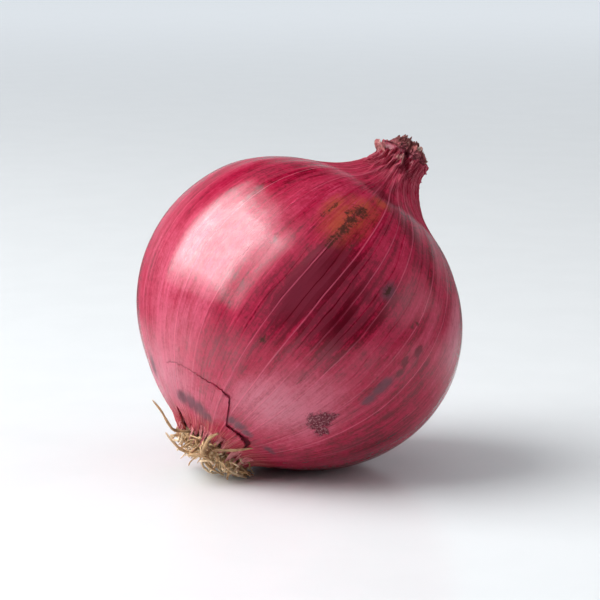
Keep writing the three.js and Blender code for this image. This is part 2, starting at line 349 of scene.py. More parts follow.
def edge_reach(turn, edge):
    """The reach of a crack edge given as (turn in degrees, height) points, with small jogs of its own."""
    turns, heights = np.array(edge).T
    jogs = ring_waves(turn, (67, 103, 151, 211), 5)
    return reach_at(np.interp(turn, np.radians(turns), heights)) + 0.32 * jogs


def root_rim(turn):
    """The reach of the skin's torn root edge: short points, with wedge-shaped slits between them."""
    points = np.abs(ring_waves(turn, (19, 31, 47, 61), 11)) ** 0.7
    low_side = round_bell(turn, 310, 62)
    rim = -1.3 - 2.9 * points - low_side * (0.4 + 1.6 * points)
    for middle, depth, half_width in RIM_SLITS:
        share = 1 - np.abs(turn_gap(turn, math.radians(middle))) / math.radians(half_width)
        rim = rim + depth * np.clip(share, 0, 1) ** 0.8
    return rim


def neck_rim(turn):
    """The reach of the skin's torn upper edge, a ragged line round the neck that dips in three places."""
    low_side = round_bell(turn, 190, 52)
    front_and_right = round_bell(turn, 345, 25) + 2.2 * round_bell(turn, 268, 42)
    ragged = ring_waves(turn, (3, 7, 13, 29, 47), 12)
    return OUTLINE_LENGTH - 0.7 - 3.2 * low_side - front_and_right + 0.9 * ragged


# The neck's outer wrap ends along a line, and above it the neck is pinched in: (height, turn in degrees).
WRAP_EDGE = (
    (31.0, 249), (32.5, 250.5), (34.6, 253.5), (37.0, 259), (39.0, 263), (42.3, 252), (44.5, 243),
    (46.5, 232),
)
CLEFT_LINE = ((41.3, 267), (42.5, 262), (44.1, 255), (46.0, 250), (49.0, 247))
SKIN_CLEFT = 2.2  # how deep the pinch is in the skin and in the bulb under it


def wrap_lift(turn, height):
    """How far the wrap stands out: it rises towards its edge and steps down to the skin beyond it."""
    heights, edges = np.array(WRAP_EDGE).T
    before = turn_gap(np.radians(np.interp(height, heights, edges)), turn)
    step = smooth_step(0.0, math.radians(4.5), before) * np.exp(-np.clip(before, 0, None) / math.radians(50))
    return 0.75 * step * smooth_step(31.5, 38.0, height)


def cleft_depth(turn, height):
    """How deep the neck is pinched in: a narrow groove that opens and deepens towards the top."""
    heights, middles = np.array(CLEFT_LINE).T
    off = turn_gap(turn, np.radians(np.interp(height, heights, middles)))
    return smooth_step(41.2, 45.0, height) * np.exp(-((off / math.radians(7.0)) ** 4))


def wrinkle_height(turn, height):
    """The neck's upright wrinkles: fine and broad folds that fade on the shoulder, and crumpling."""
    drift = 0.12 * np.sin(0.55 * height + 3 * turn) + 0.05 * np.sin(1.3 * height + 7 * turn)
    fine = folds(21 * (turn + drift) + 1.5 * np.sin(2 * turn))
    broad = folds(11 * (turn + 0.6 * drift) + 1.1 * np.sin(3 * turn + 1))
    crumple = waves(turn, height, (17, 29, 41), (5.0, 3.1, -2.3), 13)
    lines = 0.34 * fine * smooth_step(37.5, 43.0, height)
    fans = 0.34 * broad * smooth_step(34.0, 43.0, height)
    return lines + fans + 0.25 * crumple * smooth_step(42.0, 47.0, height)


def skin_lift(turn, reach):
    """How far the skin stands off the plain outline.

    It is the sum of soft undulation, a ridge on each vein, the curl of the root edge, the neck's wrap,
    wrinkles and pinch, less a hollow in the neck's left, and three broad swellings: on the neck's right, the
    left of the root end and the left shoulder.
    """
    height = outline_at(reach)[1]
    vein = vein_number(turn, height)
    lift = 0.16 * waves(turn, reach, (2, 3, 5, 4), (90, 47, 61, -38), 21)
    lift = lift + 0.05 * np.cos(FULL_TURN * vein) * smooth_step(0, 12, reach)
    curl = 0.4 + 0.6 * ring_waves(turn, (9, 14, 23), 22)
    lift = lift + 1.5 * curl * (1 - smooth_step(-3.0, 3.0, reach))
    neck = wrap_lift(turn, height) + wrinkle_height(turn, height) - SKIN_CLEFT * cleft_depth(turn, height)
    lift = lift + neck - 1.5 * round_bell(turn, 172, 50) * smooth_step(38.0, 45.0, height)
    on_neck = round_bell(turn, 335, 50) * bell(height, 39.5, 4.5)
    at_roots = round_bell(turn, 160, 42) * (1 - smooth_step(2.0, 20.0, reach))
    on_shoulder = round_bell(turn, 150, 60) * bell(height, 22.0, 8.0)
    return lift + on_neck + 0.9 * at_roots + 0.7 * on_shoulder + 0.15 * smooth_step(0.0, 12.0, reach)


def flap_lift(turn, reach):
    """How far the flap below the crack has come up: most at its right-hand corner, and again near its end."""
    corner = bell(turn, math.radians(239), math.radians(15))
    near_end = bell(turn, math.radians(262), math.radians(9))
    return 0.28 * corner * smooth_step(1.0, 9.0, reach) + 0.3 * near_end


def skin_turns():
    """The turns of the skin's columns: close together in front, where the crack and the marks are."""
    front = np.linspace(FRONT_START, FRONT_END, FRONT_COLUMNS, endpoint=False)
    back = np.linspace(FRONT_END, FRONT_START + FULL_TURN, BACK_COLUMNS, endpoint=False)
    return np.concatenate([front, back])


FLAP_ROWS = 30
SKIN_ROWS = 110
FOOT_SHARE = 0.1  # of the skin's rows, those in the first FOOT_RISE of reach above the crack
FOOT_RISE = 6.0
SIDE_SHARE = 0.56  # of the rows, those from there up to the shoulder; the rest are on the neck
NECK_SHARE = 0.34
NECK_FOOT_HEIGHT = 33.0
LEFT_SEAM_HEIGHT = -29.4
# Where the two grids meet beyond the crack's end: (turn in degrees, reach).
SEAM = ((276, 0.6), (286, 4.0), (300, 14.0), (520, 14.0), (536, 15.2))


def crack_lines(turn, rim):
    """The reach of the lower grid's last row and the upper one's first, and the columns that are parted."""
    seam_turns, seam_reaches = np.array(SEAM).T
    seam = np.interp(turn, np.radians(seam_turns), seam_reaches)
    seam = np.where(turn < CRACK_START, reach_at(LEFT_SEAM_HEIGHT), seam)
    parted = (turn > CRACK_START) & (turn < CRACK_END)
    flap_top = np.where(parted, edge_reach(turn, FLAP_EDGE), seam)
    skin_foot = np.maximum(edge_reach(turn, SKIN_EDGE), flap_top + 0.12)
    flap_top = np.maximum(flap_top, rim + 0.35)
    skin_foot = np.where(parted, np.maximum(skin_foot, rim), flap_top)
    return flap_top, skin_foot, parted


def skin_grid():
    """The skin's columns of turn, its rows of reach below and above the crack, and which columns it parts."""
    turn = skin_turns()
    rim = root_rim(turn)
    flap_top, skin_foot, parted = crack_lines(turn, rim)
    lower = rim + np.linspace(0, 1, FLAP_ROWS)[:, None] * (flap_top - rim)
    steps = np.linspace(0, 1, SKIN_ROWS)[:, None]
    foot_end = skin_foot + FOOT_RISE
    neck_foot = reach_at(NECK_FOOT_HEIGHT)
    neck_start = FOOT_SHARE + SIDE_SHARE
    foot = skin_foot + steps / FOOT_SHARE * FOOT_RISE
    side = foot_end + (steps - FOOT_SHARE) / SIDE_SHARE * (neck_foot - foot_end)
    neck = neck_foot + (steps - neck_start) / NECK_SHARE * (neck_rim(turn) - neck_foot)
    upper = np.where(steps < FOOT_SHARE, foot, np.where(steps < neck_start, side, neck))
    return turn, lower, upper, parted


def skin_faces(turn, parted):
    """The skin's faces: two grids, joined where the crack doesn't part them; no flap beyond its end."""
    columns = len(turn)
    lower = grid_quads(FLAP_ROWS, columns)
    gone = (turn > FLAP_END) & (turn < CRACK_END)
    column = lower[:, 0] % columns
    lower = lower[~(gone[column] | gone[(column + 1) % columns])]
    upper = grid_quads(SKIN_ROWS, columns) + FLAP_ROWS * columns
    first = upper < (FLAP_ROWS + 1) * columns
    upper = np.where(first & ~parted[upper % columns], upper - columns, upper)
    return np.vstack([lower, upper])


def from_middle(place_on_skin, spot):
    """How far points lie from an oval's middle, across and along the veins, as shares of its half sizes."""
    turn, reach, radius, height = place_on_skin
    at_turn, at_height, long, wide = spot
    across = radius * turn_gap(along_vein(turn, height), along_vein(math.radians(at_turn), at_height))
    return across / wide, (reach - reach_at(at_height)) / long


def spot_depth(place_on_skin, spots):
    """How deep a point lies in the nearest of some ovals: 1 in its middle, 0 on its edge, -1 far outside."""
    depths = [1 - np.hypot(*from_middle(place_on_skin, spot)) for spot in spots]
    return np.maximum(np.max(depths, axis=0), -1.0)


def light_and_tone_field(place_on_skin):
    """How much paler the skin is by area, less than 0 where it is deeper; for the most part painted light and
    painted shade: the sum of soft ovals, each a bell in its distance from the middle.
    """
    total = 0.0
    for *area, pale in LIGHT_AND_TONE_AREAS:
        across, along = from_middle(place_on_skin, area)
        total = total + pale * np.exp(-(across**2) - along**2)
    return total


# Marks of the skin: (turn in degrees, height, half the length along the veins, half the width).
OCHRE_SPOTS = ((236, 18.0, 11.0, 7.2), (239, 24.0, 6.0, 6.0), (245, 28.0, 3.5, 3.5), (229, 20.0, 7.0, 3.6))
BROWN_SPOTS = (
    (238.8, 22.3, 2.9, 2.5), (237.8, 19.0, 3.2, 1.7), (237.4, 15.8, 3.2, 1.6), (236.3, 11.9, 3.4, 1.1),
    (234.8, 20.5, 1.4, 0.9), (228.0, 16.6, 1.1, 0.8), (228.6, 18.2, 1.6, 0.5), (229.3, 20.3, 1.3, 0.7),
    (262.0, 9.9, 1.8, 0.9), (234.7, -15.4, 1.3, 1.0), (278.2, 7.7, 1.0, 0.8), (249.5, -19.9, 0.3, 2.4),
    (254.6, -18.6, 1.7, 0.28), (243.0, 13.4, 1.2, 0.5),
)
RUSSET_SPOTS = (
    (284.0, 3.0, 2.1, 1.7), (281.6, -1.0, 2.0, 1.4), (282.6, -3.6, 1.8, 1.1), (276.5, 6.6, 1.0, 0.9),
)
BLOOM_SPOTS = (
    (198, -33.7, 2.8, 3.0), (206, -33.8, 3.4, 3.2), (214, -34.2, 3.4, 3.0), (222, -34.8, 2.6, 2.4),
    (241.5, -32.9, 2.2, 1.8), (248, -32.9, 2.2, 2.6), (256, -33.3, 1.8, 2.4), (279, -33.4, 1.4, 3.4),
    (280.3, -8.6, 4.4, 2.2), (280, -13.0, 2.4, 1.8), (262.0, 9.4, 3.8, 2.4), (166, -30.5, 4.2, 2.4),
)
SCAB_SPOTS = ((273.5, -22.6, 3.5, 3.4), (279.5, -24.0, 2.0, 2.0), (275.0, -20.8, 1.8, 1.8))

# Deeper and paler areas: (turn in degrees, height, half the length, half the width, how much paler). Most of
# them are painted light and shade over the skin's own tone: the deep middle of the front is painted shade,
# the paler left painted light, the paler lower front a painted reflection of the floor, the paler right a
# painted sheen and the deeper bottom painted shade. Those round the back are the skin's own tone.
LIGHT_AND_TONE_AREAS = (
    (240, 2.0, 11.0, 9.0, -1.0), (257, -1.0, 10.0, 6.5, -0.6), (233, -7.0, 6.5, 8.5, -0.6),
    (246, 37.0, 7.0, 8.0, -0.5), (249, 22.5, 4.0, 3.6, -0.5), (250, 11.0, 6.0, 7.0, -0.4),
    (225, -20.0, 6.0, 7.0, -0.5), (296, 24.0, 8.0, 8.0, -0.3), (201, 21.0, 8.0, 12.0, -0.35),
    (183, -12.0, 22.0, 13.0, 0.42), (185, -32.0, 9.0, 12.0, 0.68), (303, 14.0, 12.0, 5.0, 0.8),
    (247, 31.0, 5.0, 7.0, -0.9), (259, 27.0, 5.0, 5.0, -0.5), (272, 24.0, 6.0, 6.0, -0.5),
    (254, -6.0, 6.0, 5.0, -0.3), (208, -19.0, 9.0, 8.0, 0.25), (248, -26.0, 9.0, 9.0, 0.75),
    (272, -24.0, 8.0, 10.0, 0.5), (262, -16.0, 6.0, 10.0, 0.35), (308, -18.0, 12.0, 12.0, -0.35),
    (285, 8.0, 14.0, 6.0, 0.2), (214, 2.0, 18.0, 9.0, 0.3), (20, 4.0, 26.0, 16.0, 0.5),
    (60, -6.0, 20.0, 12.0, -0.7), (100, 6.0, 26.0, 14.0, 0.4), (135, -8.0, 22.0, 10.0, -0.5),
)


def mark_fields(turn, reach):
    """The attributes that the skin's material reads, by name: how marked, dry and pale the skin is; its
    paleness by area is mostly painted light and painted shade.
    """
    place_on_skin = (turn, reach, *outline_at(reach)[:2])
    height = place_on_skin[-1]
    spots = (OCHRE_SPOTS, BROWN_SPOTS, BLOOM_SPOTS, SCAB_SPOTS, RUSSET_SPOTS)
    ochre, brown, bloom, scab, russet = (spot_depth(place_on_skin, some) for some in spots)
    dry_neck = smooth_step(29.0, 47.0, height)
    dry_root = 1 - smooth_step(-1.0, 8.0, reach)
    fields = {
        "marks": (ochre, brown, bloom),
        "dryness": (scab, dry_neck, dry_root),
        "tones_and_painted_light": (light_and_tone_field(place_on_skin), russet, wrinkle_height(turn, height)),
    }
    return {name: np.stack(three, -1) for name, three in fields.items()}


def set_vein_data(piece, turn, reach, faces):
    """Gives a piece what the vein and streak patterns read: the vein number as a UV map, and two attributes.

    turn and reach hold one value for each vertex; turn grows all the way round from FRONT_START.
    """
    radius, height = outline_at(reach)[:2]
    number = vein_number(turn, height)
    corner = number[faces]
    corner = corner + VEINS * (corner.max(1, keepdims=True) - corner > VEINS / 2)
    set_uv(piece, "vein", np.stack([corner, reach[faces] / 100], -1).reshape(-1, 2))
    girth_turn = along_vein(turn, height)
    step = 0.01
    spacing = 2 * step / (vein_number(turn + step, height) - vein_number(turn - step, height))
    set_attribute(piece, "vein_gap", radius * spacing)
    set_attribute(piece, "streak", streak_vector(girth_turn, reach))


def make_skin(material):
    """The papery skin: a thin sheet round the bulb, cracked above the roots and gathered at the neck."""
    turn_row, lower, upper, parted = skin_grid()
    reach = np.vstack([lower, upper])
    turn = np.broadcast_to(turn_row, reach.shape)
    flap = np.zeros(reach.shape)
    flap[:FLAP_ROWS] = flap_lift(turn, reach)[:FLAP_ROWS] * (turn_row > CRACK_START) * (turn_row < CRACK_END)
    lift = skin_lift(turn, reach) + flap
    outer = place(round_axis(turn, reach, lift)).reshape(-1, 3)
    inner = place(round_axis(turn, reach, lift - SKIN_THICKNESS), SKIN_THICKNESS).reshape(-1, 3)
    quads = skin_faces(turn_row, parted)
    used, quads = np.unique(quads, return_inverse=True)
    quads = quads.reshape(-1, 4)
    points, faces, edge_count = thicken(outer[used], inner[used], quads)
    skin = add_piece(
        "outer_skin_paper", points, faces.tolist(), material, ["outer_skin"], edge_count
    )
    turn, reach = (np.tile(values.ravel()[used], 2) for values in (turn, reach))
    set_vein_data(skin, turn, reach, faces)
    for name, values in mark_fields(turn, reach).items():
        set_attribute(skin, name, values)


# ---------------------------------------------------------------- node helpers


class Wiring:
    """Puts shader nodes into a tree and links them."""

    def __init__(self, tree):
        self.tree = tree

    def node(self, kind, feeds=(), **settings):
        """A node of a kind; feeds gives an input, by its name or number, a value or another node's output."""
        node = self.tree.nodes.new("ShaderNode" + kind)
        for name, value in settings.items():
            setattr(node, name, value)
        for socket, value in dict(feeds).items():
            self.feed(node.inputs[socket], value)
        return node

    def feed(self, socket, value):
        """Gives an input a value or another node's output."""
        if isinstance(value, bpy.types.NodeSocket):
            self.tree.links.new(value, socket)
        else:
            socket.default_value = value

    def math(self, operation, a, b=0.0, c=0.0):
        """One step of arithmetic on values."""
        return self.node("Math", {0: a, 1: b, 2: c}, operation=operation).outputs[0]

    def total(self, *layers):
        """The sum of patterns, each times its size, from (pattern, size) pairs."""
        (pattern, size), *others = layers
        value = self.math("MULTIPLY", pattern, size)
        for pattern, size in others:
            value = self.math("MULTIPLY_ADD", pattern, size, value)
        return value

    def sway(self, value, *layers):
        """A value moved by how far patterns lie from a half, times their sizes: (pattern, size) pairs."""
        for pattern, size in layers:
            value = self.math("MULTIPLY_ADD", self.math("SUBTRACT", pattern, 0.5), size, value)
        return value

    def remap(self, value, low, high, to_low=0.0, to_high=1.0):
        """Smoothly from to_low, where value is low or less, to to_high, where it is high or more."""
        feeds = {"Value": value, "From Min": low, "From Max": high, "To Min": to_low, "To Max": to_high}
        return self.node("MapRange", feeds, interpolation_type="SMOOTHSTEP").outputs["Result"]

    def mix(self, share, a, b):
        """A colour between a and b, or between the numbers of two vectors."""
        return self.node("Mix", {0: share, 6: a, 7: b}, data_type="RGBA").outputs[2]

    def noise(self, vector, scale, detail=2.0, roughness=0.5):
        """Soft noise from 0 to 1 in three dimensions."""
        feeds = {"Vector": vector, "Scale": scale, "Detail": detail, "Roughness": roughness}
        return self.node("TexNoise", feeds).outputs["Fac"]

    def stretch(self, vector, across, along):
        """A vector with its first two numbers times across and its third times along."""
        return self.node("Mapping", {"Vector": vector, "Scale": (across, across, along)}).outputs["Vector"]

    def parts(self, vector):
        """The three numbers of a vector."""
        return self.node("SeparateXYZ", {"Vector": vector}).outputs

    def attribute(self, name, output="Vector"):
        """A named attribute of the mesh."""
        return self.node("Attribute", attribute_name=name).outputs[output]

    def here(self):
        """Where a point is on its piece: its Object coordinates."""
        return self.node("TexCoord").outputs["Object"]

    def bump(self, height, strength):
        """The normal of a surface with this height, in metres."""
        return self.node("Bump", {"Height": height, "Strength": strength, "Distance": 1.0}).outputs["Normal"]

    def group(self, group, feeds):
        """A node group with what feeds it; gives back its outputs."""
        node = self.node("Group", node_tree=group)
        for socket, value in feeds.items():
            self.feed(node.inputs[socket], value)
        return node.outputs


SOCKETS = {"value": "NodeSocketFloat", "vector": "NodeSocketVector", "colour": "NodeSocketColor"}


def make_group(name, inputs, outputs, build):
    """A shader node group, wired up by build: inputs is {name: (kind, default)} and outputs {name: kind}."""
    group = bpy.data.node_groups.new(name, "ShaderNodeTree")
    for socket, (kind, default) in inputs.items():
        made = group.interface.new_socket(socket, in_out="INPUT", socket_type=SOCKETS[kind])
        made.default_value = default
    for socket, kind in outputs.items():
        group.interface.new_socket(socket, in_out="OUTPUT", socket_type=SOCKETS[kind])
    wiring = Wiring(group)
    entry = group.nodes.new("NodeGroupInput")
    results = build(wiring, entry.outputs)
    end = group.nodes.new("NodeGroupOutput")
    for socket, result in results.items():
        group.links.new(result, end.inputs[socket])
    return group


def streak_pattern():
    """Streaks along the veins: broad bands, streaks and fine fibres, mixed into one value round 0.5."""

    def build(w, given):
        broad = w.noise(w.stretch(given["Streak"], 5.0, 2.2), 1.0, 2.0)
        middle = w.noise(w.stretch(given["Streak"], 26.0, 4.5), 1.0, 3.0, 0.6)
        fine = w.noise(w.stretch(given["Streak"], 95.0, 11.0), 1.0, 2.0, 0.6)
        low = w.math("MULTIPLY_ADD", broad, given["Broad"], w.math("MULTIPLY", middle, given["Middle"]))
        total = w.math("MULTIPLY_ADD", fine, given["Fine"], low)
        parts = w.math("ADD", given["Broad"], w.math("ADD", given["Middle"], given["Fine"]))
        return {"Value": w.math("DIVIDE", total, parts), "Fine": fine}

    inputs = {
        "Streak": ("vector", (0, 0, 0)),
        "Broad": ("value", 1.0),
        "Middle": ("value", 1.0),
        "Fine": ("value", 0.6),
    }
    return make_group("streak_pattern", inputs, {"Value": "value", "Fine": "value"}, build)


def vein_pattern():
    """Thin lines along the veins: a pale line and, beside it, a line of painted groove shade, whose strength
    comes and goes.
    """

    def build(w, given):
        wander = w.noise(w.stretch(given["Streak"], 9.0, 7.0), 1.0, 2.0)
        wander = w.math("MULTIPLY", w.math("SUBTRACT", wander, 0.5), given["Wander"])
        number = w.math("MULTIPLY", w.parts(given["Vein"])[0], given["Repeat"])
        shifted = w.math("ADD", w.math("ADD", number, wander), 0.5)
        off = w.math("SUBTRACT", w.math("FRACT", shifted), 0.5)
        off = w.math("MULTIPLY", off, w.math("DIVIDE", given["Gap"], given["Repeat"]))
        pale = w.remap(w.math("ABSOLUTE", off), given["Width"], 0.15, 0.0, 1.0)
        beside = w.math("ABSOLUTE", w.math("SUBTRACT", off, w.math("MULTIPLY", given["Width"], 1.1)))
        groove_shade = w.remap(beside, given["Width"], 0.1, 0.0, 1.0)
        number = w.node("TexWhiteNoise", {"W": w.math("FLOOR", shifted)}, noise_dimensions="1D")
        which = number.outputs["Value"]
        comes = w.noise(w.stretch(given["Streak"], 6.0, 5.0), 1.0, 2.0)
        strength = w.remap(w.math("ADD", w.math("MULTIPLY", which, 0.5), comes), 0.45, 0.95)
        return {"Pale": w.math("MULTIPLY", pale, strength), "Groove_Shade": w.math("MULTIPLY", groove_shade, strength)}

    inputs = {
        "Vein": ("vector", (0, 0, 0)),
        "Streak": ("vector", (0, 0, 0)),
        "Gap": ("value", 8.0),
        "Width": ("value", 0.3),
        "Repeat": ("value", 1.0),
        "Wander": ("value", 0.12),
    }
    return make_group("vein_pattern", inputs, {"Pale": "value", "Groove_Shade": "value"}, build)


def mottle_pattern():
    """Fine flecks in the tissue: grain a fraction of a millimetre across and clouds of a few millimetres."""

    def build(w, given):
        place_in = given["Vector"]
        grain = w.noise(place_in, w.math("DIVIDE", 1.0, given["Grain"]), 3.0, 0.65)
        cloud = w.noise(place_in, w.math("DIVIDE", 1.0, given["Cloud"]), 3.0, 0.6)
        return {"Grain": grain, "Cloud": cloud}

    inputs = {"Vector": ("vector", (0, 0, 0)), "Grain": ("value", 0.0005), "Cloud": ("value", 0.004)}
    return make_group("mottle_pattern", inputs, {"Grain": "value", "Cloud": "value"}, build)


def mark_pattern():
    """A mark with a broken edge: its depth and some noise, cut off at an edge of the given softness."""

    def build(w, given):
        noise = w.noise(given["Vector"], w.math("DIVIDE", 1.0, given["Grain"]), 4.0, 0.7)
        shifted = w.math("MULTIPLY_ADD", w.math("SUBTRACT", noise, 0.5), given["Break"], given["Depth"])
        return {"Mask": w.remap(shifted, 0.0, given["Softness"])}

    inputs = {
        "Depth": ("value", 0.0),
        "Vector": ("vector", (0, 0, 0)),
        "Grain": ("value", 0.001),
        "Break": ("value", 1.0),
        "Softness": ("value", 0.2),
    }
    return make_group("mark_pattern", inputs, {"Mask": "value"}, build)


STREAKS = streak_pattern()
VEIN_LINES = vein_pattern()
MOTTLE = mottle_pattern()
MARK = mark_pattern()


def new_material(name):
    """A named material with an empty tree and its wiring."""
    material = bpy.data.materials.new(name)
    material.use_nodes = True
    material.node_tree.nodes.clear()
    return material, Wiring(material.node_tree)


def finish_material(w, feeds):
    """The shader that everything feeds, and the output."""
    shader = w.node("BsdfPrincipled", feeds)
    w.node("OutputMaterial", {"Surface": shader.outputs["BSDF"]})
    return shader


def rgb(red, green, blue):
    """A colour in linear light with full alpha."""
    return (red, green, blue, 1.0)


def mark(w, depth, vector, grain, broken, softness):
    """The mask of a mark from how deep a point lies in it."""
    feeds = {"Depth": depth, "Vector": vector, "Grain": grain, "Break": broken, "Softness": softness}
    return w.group(MARK, feeds)["Mask"]


# The darkest colour is painted shade: the middle of the skin's front, which faces the unlit side of the room,
# is mixed towards it.
DARKEST_PAINTED_SHADE = rgb(0.075, 0.0004, 0.006)
DEEP = rgb(0.16, 0.0015, 0.014)
CRIMSON = rgb(0.37, 0.006, 0.040)
ROSE = rgb(0.56, 0.050, 0.120)
# A greyish rose of painted reflection and sheen, with a little dusty bloom.
DUST_AND_SHEEN_ROSE = rgb(0.57, 0.18, 0.24)
PALE_VEIN = rgb(0.82, 0.15, 0.25)
OCHRE = rgb(0.40, 0.080, 0.03)
DARK_BROWN = rgb(0.055, 0.024, 0.018)
BLOOM_GREY = rgb(0.13, 0.045, 0.066)
RUSSET = rgb(0.09, 0.008, 0.014)
# Painted light on the ridges of the neck's wrinkles.
PAINTED_RIDGE_LIGHT = rgb(0.78, 0.20, 0.27)


class SkinPatterns:
    """What the skin's colour, gloss and relief are made of: patterns along the veins and the marked areas."""

    def __init__(self, w):
        self.here = w.here()
        self.streak = w.attribute("streak")
        gap = w.attribute("vein_gap", "Fac")
        vein = w.node("UVMap", uv_map="vein").outputs["UV"]
        self.streaks = w.group(STREAKS, {"Streak": self.streak, "Broad": 1.0, "Middle": 1.4, "Fine": 1.0})
        self.mottle = w.group(MOTTLE, {"Vector": self.here, "Grain": 0.0007, "Cloud": 0.005})
        self.speck = w.noise(w.stretch(self.streak, 60.0, 26.0), 1.0, 5.0, 0.75)
        self.blotch = w.noise(self.here, 420.0, 3.0, 0.6)
        self.band = w.noise(w.stretch(self.streak, 34.0, 9.0), 1.0, 4.0, 0.65)
        self.fibre = w.noise(w.stretch(self.streak, 70.0, 14.0), 1.0, 3.0, 0.65)
        self.flecks = w.noise(self.here, 1900.0, 4.0, 0.75)
        along = {"Vein": vein, "Streak": self.streak, "Gap": gap}
        self.main = w.group(VEIN_LINES, {**along, "Width": 0.17, "Wander": 0.16})
        self.faint = w.group(VEIN_LINES, {**along, "Width": 0.13, "Repeat": 2.0, "Wander": 0.7})
        self.find_marks(w)

    def find_marks(self, w):
        """The masks of the marks, and the areas that the mesh's attributes give."""
        ochre, brown, bloom = w.parts(w.attribute("marks"))[:3]
        scab, self.neck, self.root = w.parts(w.attribute("dryness"))[:3]
        self.area, russet, self.crease = w.parts(w.attribute("tones_and_painted_light"))[:3]
        soft = w.stretch(self.streak, 12.0, 14.0)
        torn = w.stretch(self.streak, 50.0, 60.0)
        self.ochre = mark(w, ochre, soft, 1.0, 1.0, 0.9)
        self.bloom = mark(w, bloom, soft, 0.7, 1.0, 0.7)
        self.brown = mark(w, brown, self.here, 0.0008, 3.0, 0.7)
        self.russet = mark(w, russet, torn, 1.4, 1.8, 0.5)
        self.scab = mark(w, scab, self.here, 0.0014, 2.0, 0.35)


def skin_colour(w, p):
    """The clean skin: dark to rose by a mixed tone, deeper and paler areas that are mostly painted shade,
    painted light and painted reflection, and vein lines.
    """
    streaks, mottle, area = p.streaks["Value"], p.mottle, p.area
    tone = w.sway(0.5, (streaks, 1.05), (mottle["Grain"], 0.42), (p.speck, 0.34), (p.blotch, 0.26))
    tone = w.sway(tone, (mottle["Cloud"], 0.28), (p.band, 0.40))
    tone = w.math("MULTIPLY_ADD", area, 0.17, tone)
    colour = w.mix(w.remap(tone, 0.34, 0.54), DEEP, CRIMSON)
    colour = w.mix(w.remap(tone, 0.52, 0.78, 0.0, 0.8), colour, ROSE)
    # Painted reflection and sheen with some dusty bloom: the paler areas, most of all the lower front where
    # the floor reflects, go towards a greyish rose.
    dust_and_sheen = w.math("MULTIPLY", w.remap(area, 0.05, 0.95, 0.0, 0.86), w.remap(tone, 0.42, 0.66, 0.45, 1.0))
    colour = w.mix(dust_and_sheen, colour, DUST_AND_SHEEN_ROSE)
    # Painted shade: where the deeper areas and the tone add up low, the colour goes towards the darkest one.
    shaded = w.sway(area, (tone, 2.2))
    colour = w.mix(w.remap(shaded, -0.15, -1.75, 0.0, 0.88), colour, DARKEST_PAINTED_SHADE)
    colour = w.mix(w.math("MULTIPLY", p.faint["Pale"], 0.12), colour, PALE_VEIN)
    # Painted shade in the groove beside each main vein.
    colour = w.mix(w.math("MULTIPLY", p.main["Groove_Shade"], 0.18), colour, DEEP)
    return w.mix(w.math("MULTIPLY", p.main["Pale"], 0.42), colour, PALE_VEIN)


def skin_marks(w, p, colour):
    """The skin's colour with its marks, from the lowest layer to the highest: ochre to the dry ends."""
    colour = w.mix(w.math("MULTIPLY", p.ochre, w.remap(p.fibre, 0.3, 0.6, 0.25, 0.75)), colour, OCHRE)
    colour = w.mix(w.math("MULTIPLY", p.bloom, 0.85), colour, BLOOM_GREY)
    colour = w.mix(w.math("MULTIPLY", p.russet, 0.75), colour, RUSSET)
    colour = w.mix(w.math("MULTIPLY", p.brown, w.remap(p.fibre, 0.55, 0.72, 0.93, 0.35)), colour, DARK_BROWN)
    crust = w.mix(w.remap(p.flecks, 0.47, 0.66), rgb(0.07, 0.012, 0.02), rgb(0.52, 0.26, 0.28))
    colour = w.mix(w.math("MULTIPLY", p.scab, 0.8), colour, crust)
    dry_neck = w.mix(w.remap(p.fibre, 0.42, 0.62), rgb(0.33, 0.010, 0.034), rgb(0.80, 0.19, 0.25))
    colour = w.mix(w.math("MULTIPLY", p.neck, w.remap(p.fibre, 0.35, 0.65, 0.3, 0.9)), colour, dry_neck)
    # Painted light and shade on the neck's wrinkles: the ridges are painted paler and the valleys deeper.
    colour = w.mix(w.math("MULTIPLY", w.remap(p.crease, 0.08, 0.5), 0.7), colour, PAINTED_RIDGE_LIGHT)
    colour = w.mix(w.math("MULTIPLY", w.remap(p.crease, -0.12, -0.6), 0.7), colour, DEEP)
    dry_root = w.mix(w.remap(p.fibre, 0.4, 0.62), rgb(0.42, 0.05, 0.07), rgb(0.80, 0.32, 0.25))
    return w.mix(w.math("MULTIPLY", p.root, w.remap(p.fibre, 0.4, 0.7, 0.2, 0.75)), colour, dry_root)


def skin_gloss(w, p):
    """The skin's roughness and its glossy coat, which is less where it is dry, marked, worn or dark."""
    marked = w.math("MAXIMUM", p.brown, p.scab)
    dull = w.math("MAXIMUM", marked, w.math("MAXIMUM", w.remap(p.neck, 0.0, 0.07), p.root))
    dull = w.math("MAXIMUM", dull, w.math("MULTIPLY", w.math("MAXIMUM", p.bloom, p.ochre), 0.4))
    rough = w.sway(0.40, (p.mottle["Grain"], 0.3), (p.streaks["Value"], 0.5))
    rough = w.math("MULTIPLY_ADD", dull, 0.3, rough)
    worn = w.total((w.math("ADD", p.speck, p.streaks["Value"]), 0.5), (p.blotch, 0.5))
    coat = w.math("SUBTRACT", 1.0, w.math("MULTIPLY", dull, 0.85))
    coat = w.math("MULTIPLY", coat, w.remap(worn, 0.56, 0.84, 1.0, 0.62))
    return rough, w.math("MULTIPLY", coat, w.remap(p.area, -0.4, -1.5, 1.0, 0.2))


def skin_relief(w, p):
    """The skin's height in metres: vein lines, streaks, specks, crumbs on the scab and fibres on the neck."""
    height = w.total(
        (p.main["Pale"], 0.00005),
        (p.main["Groove_Shade"], -0.00003),
        (p.streaks["Fine"], 0.00034),
        (p.speck, 0.00030),
        (p.band, 0.00040),
        (p.mottle["Grain"], 0.00014),
        (p.mottle["Cloud"], 0.00050),
        (w.math("MULTIPLY", p.scab, p.flecks), 0.0006),
        (w.math("MULTIPLY", p.neck, p.fibre), 0.0007),
    )
    return w.bump(height, 0.9)


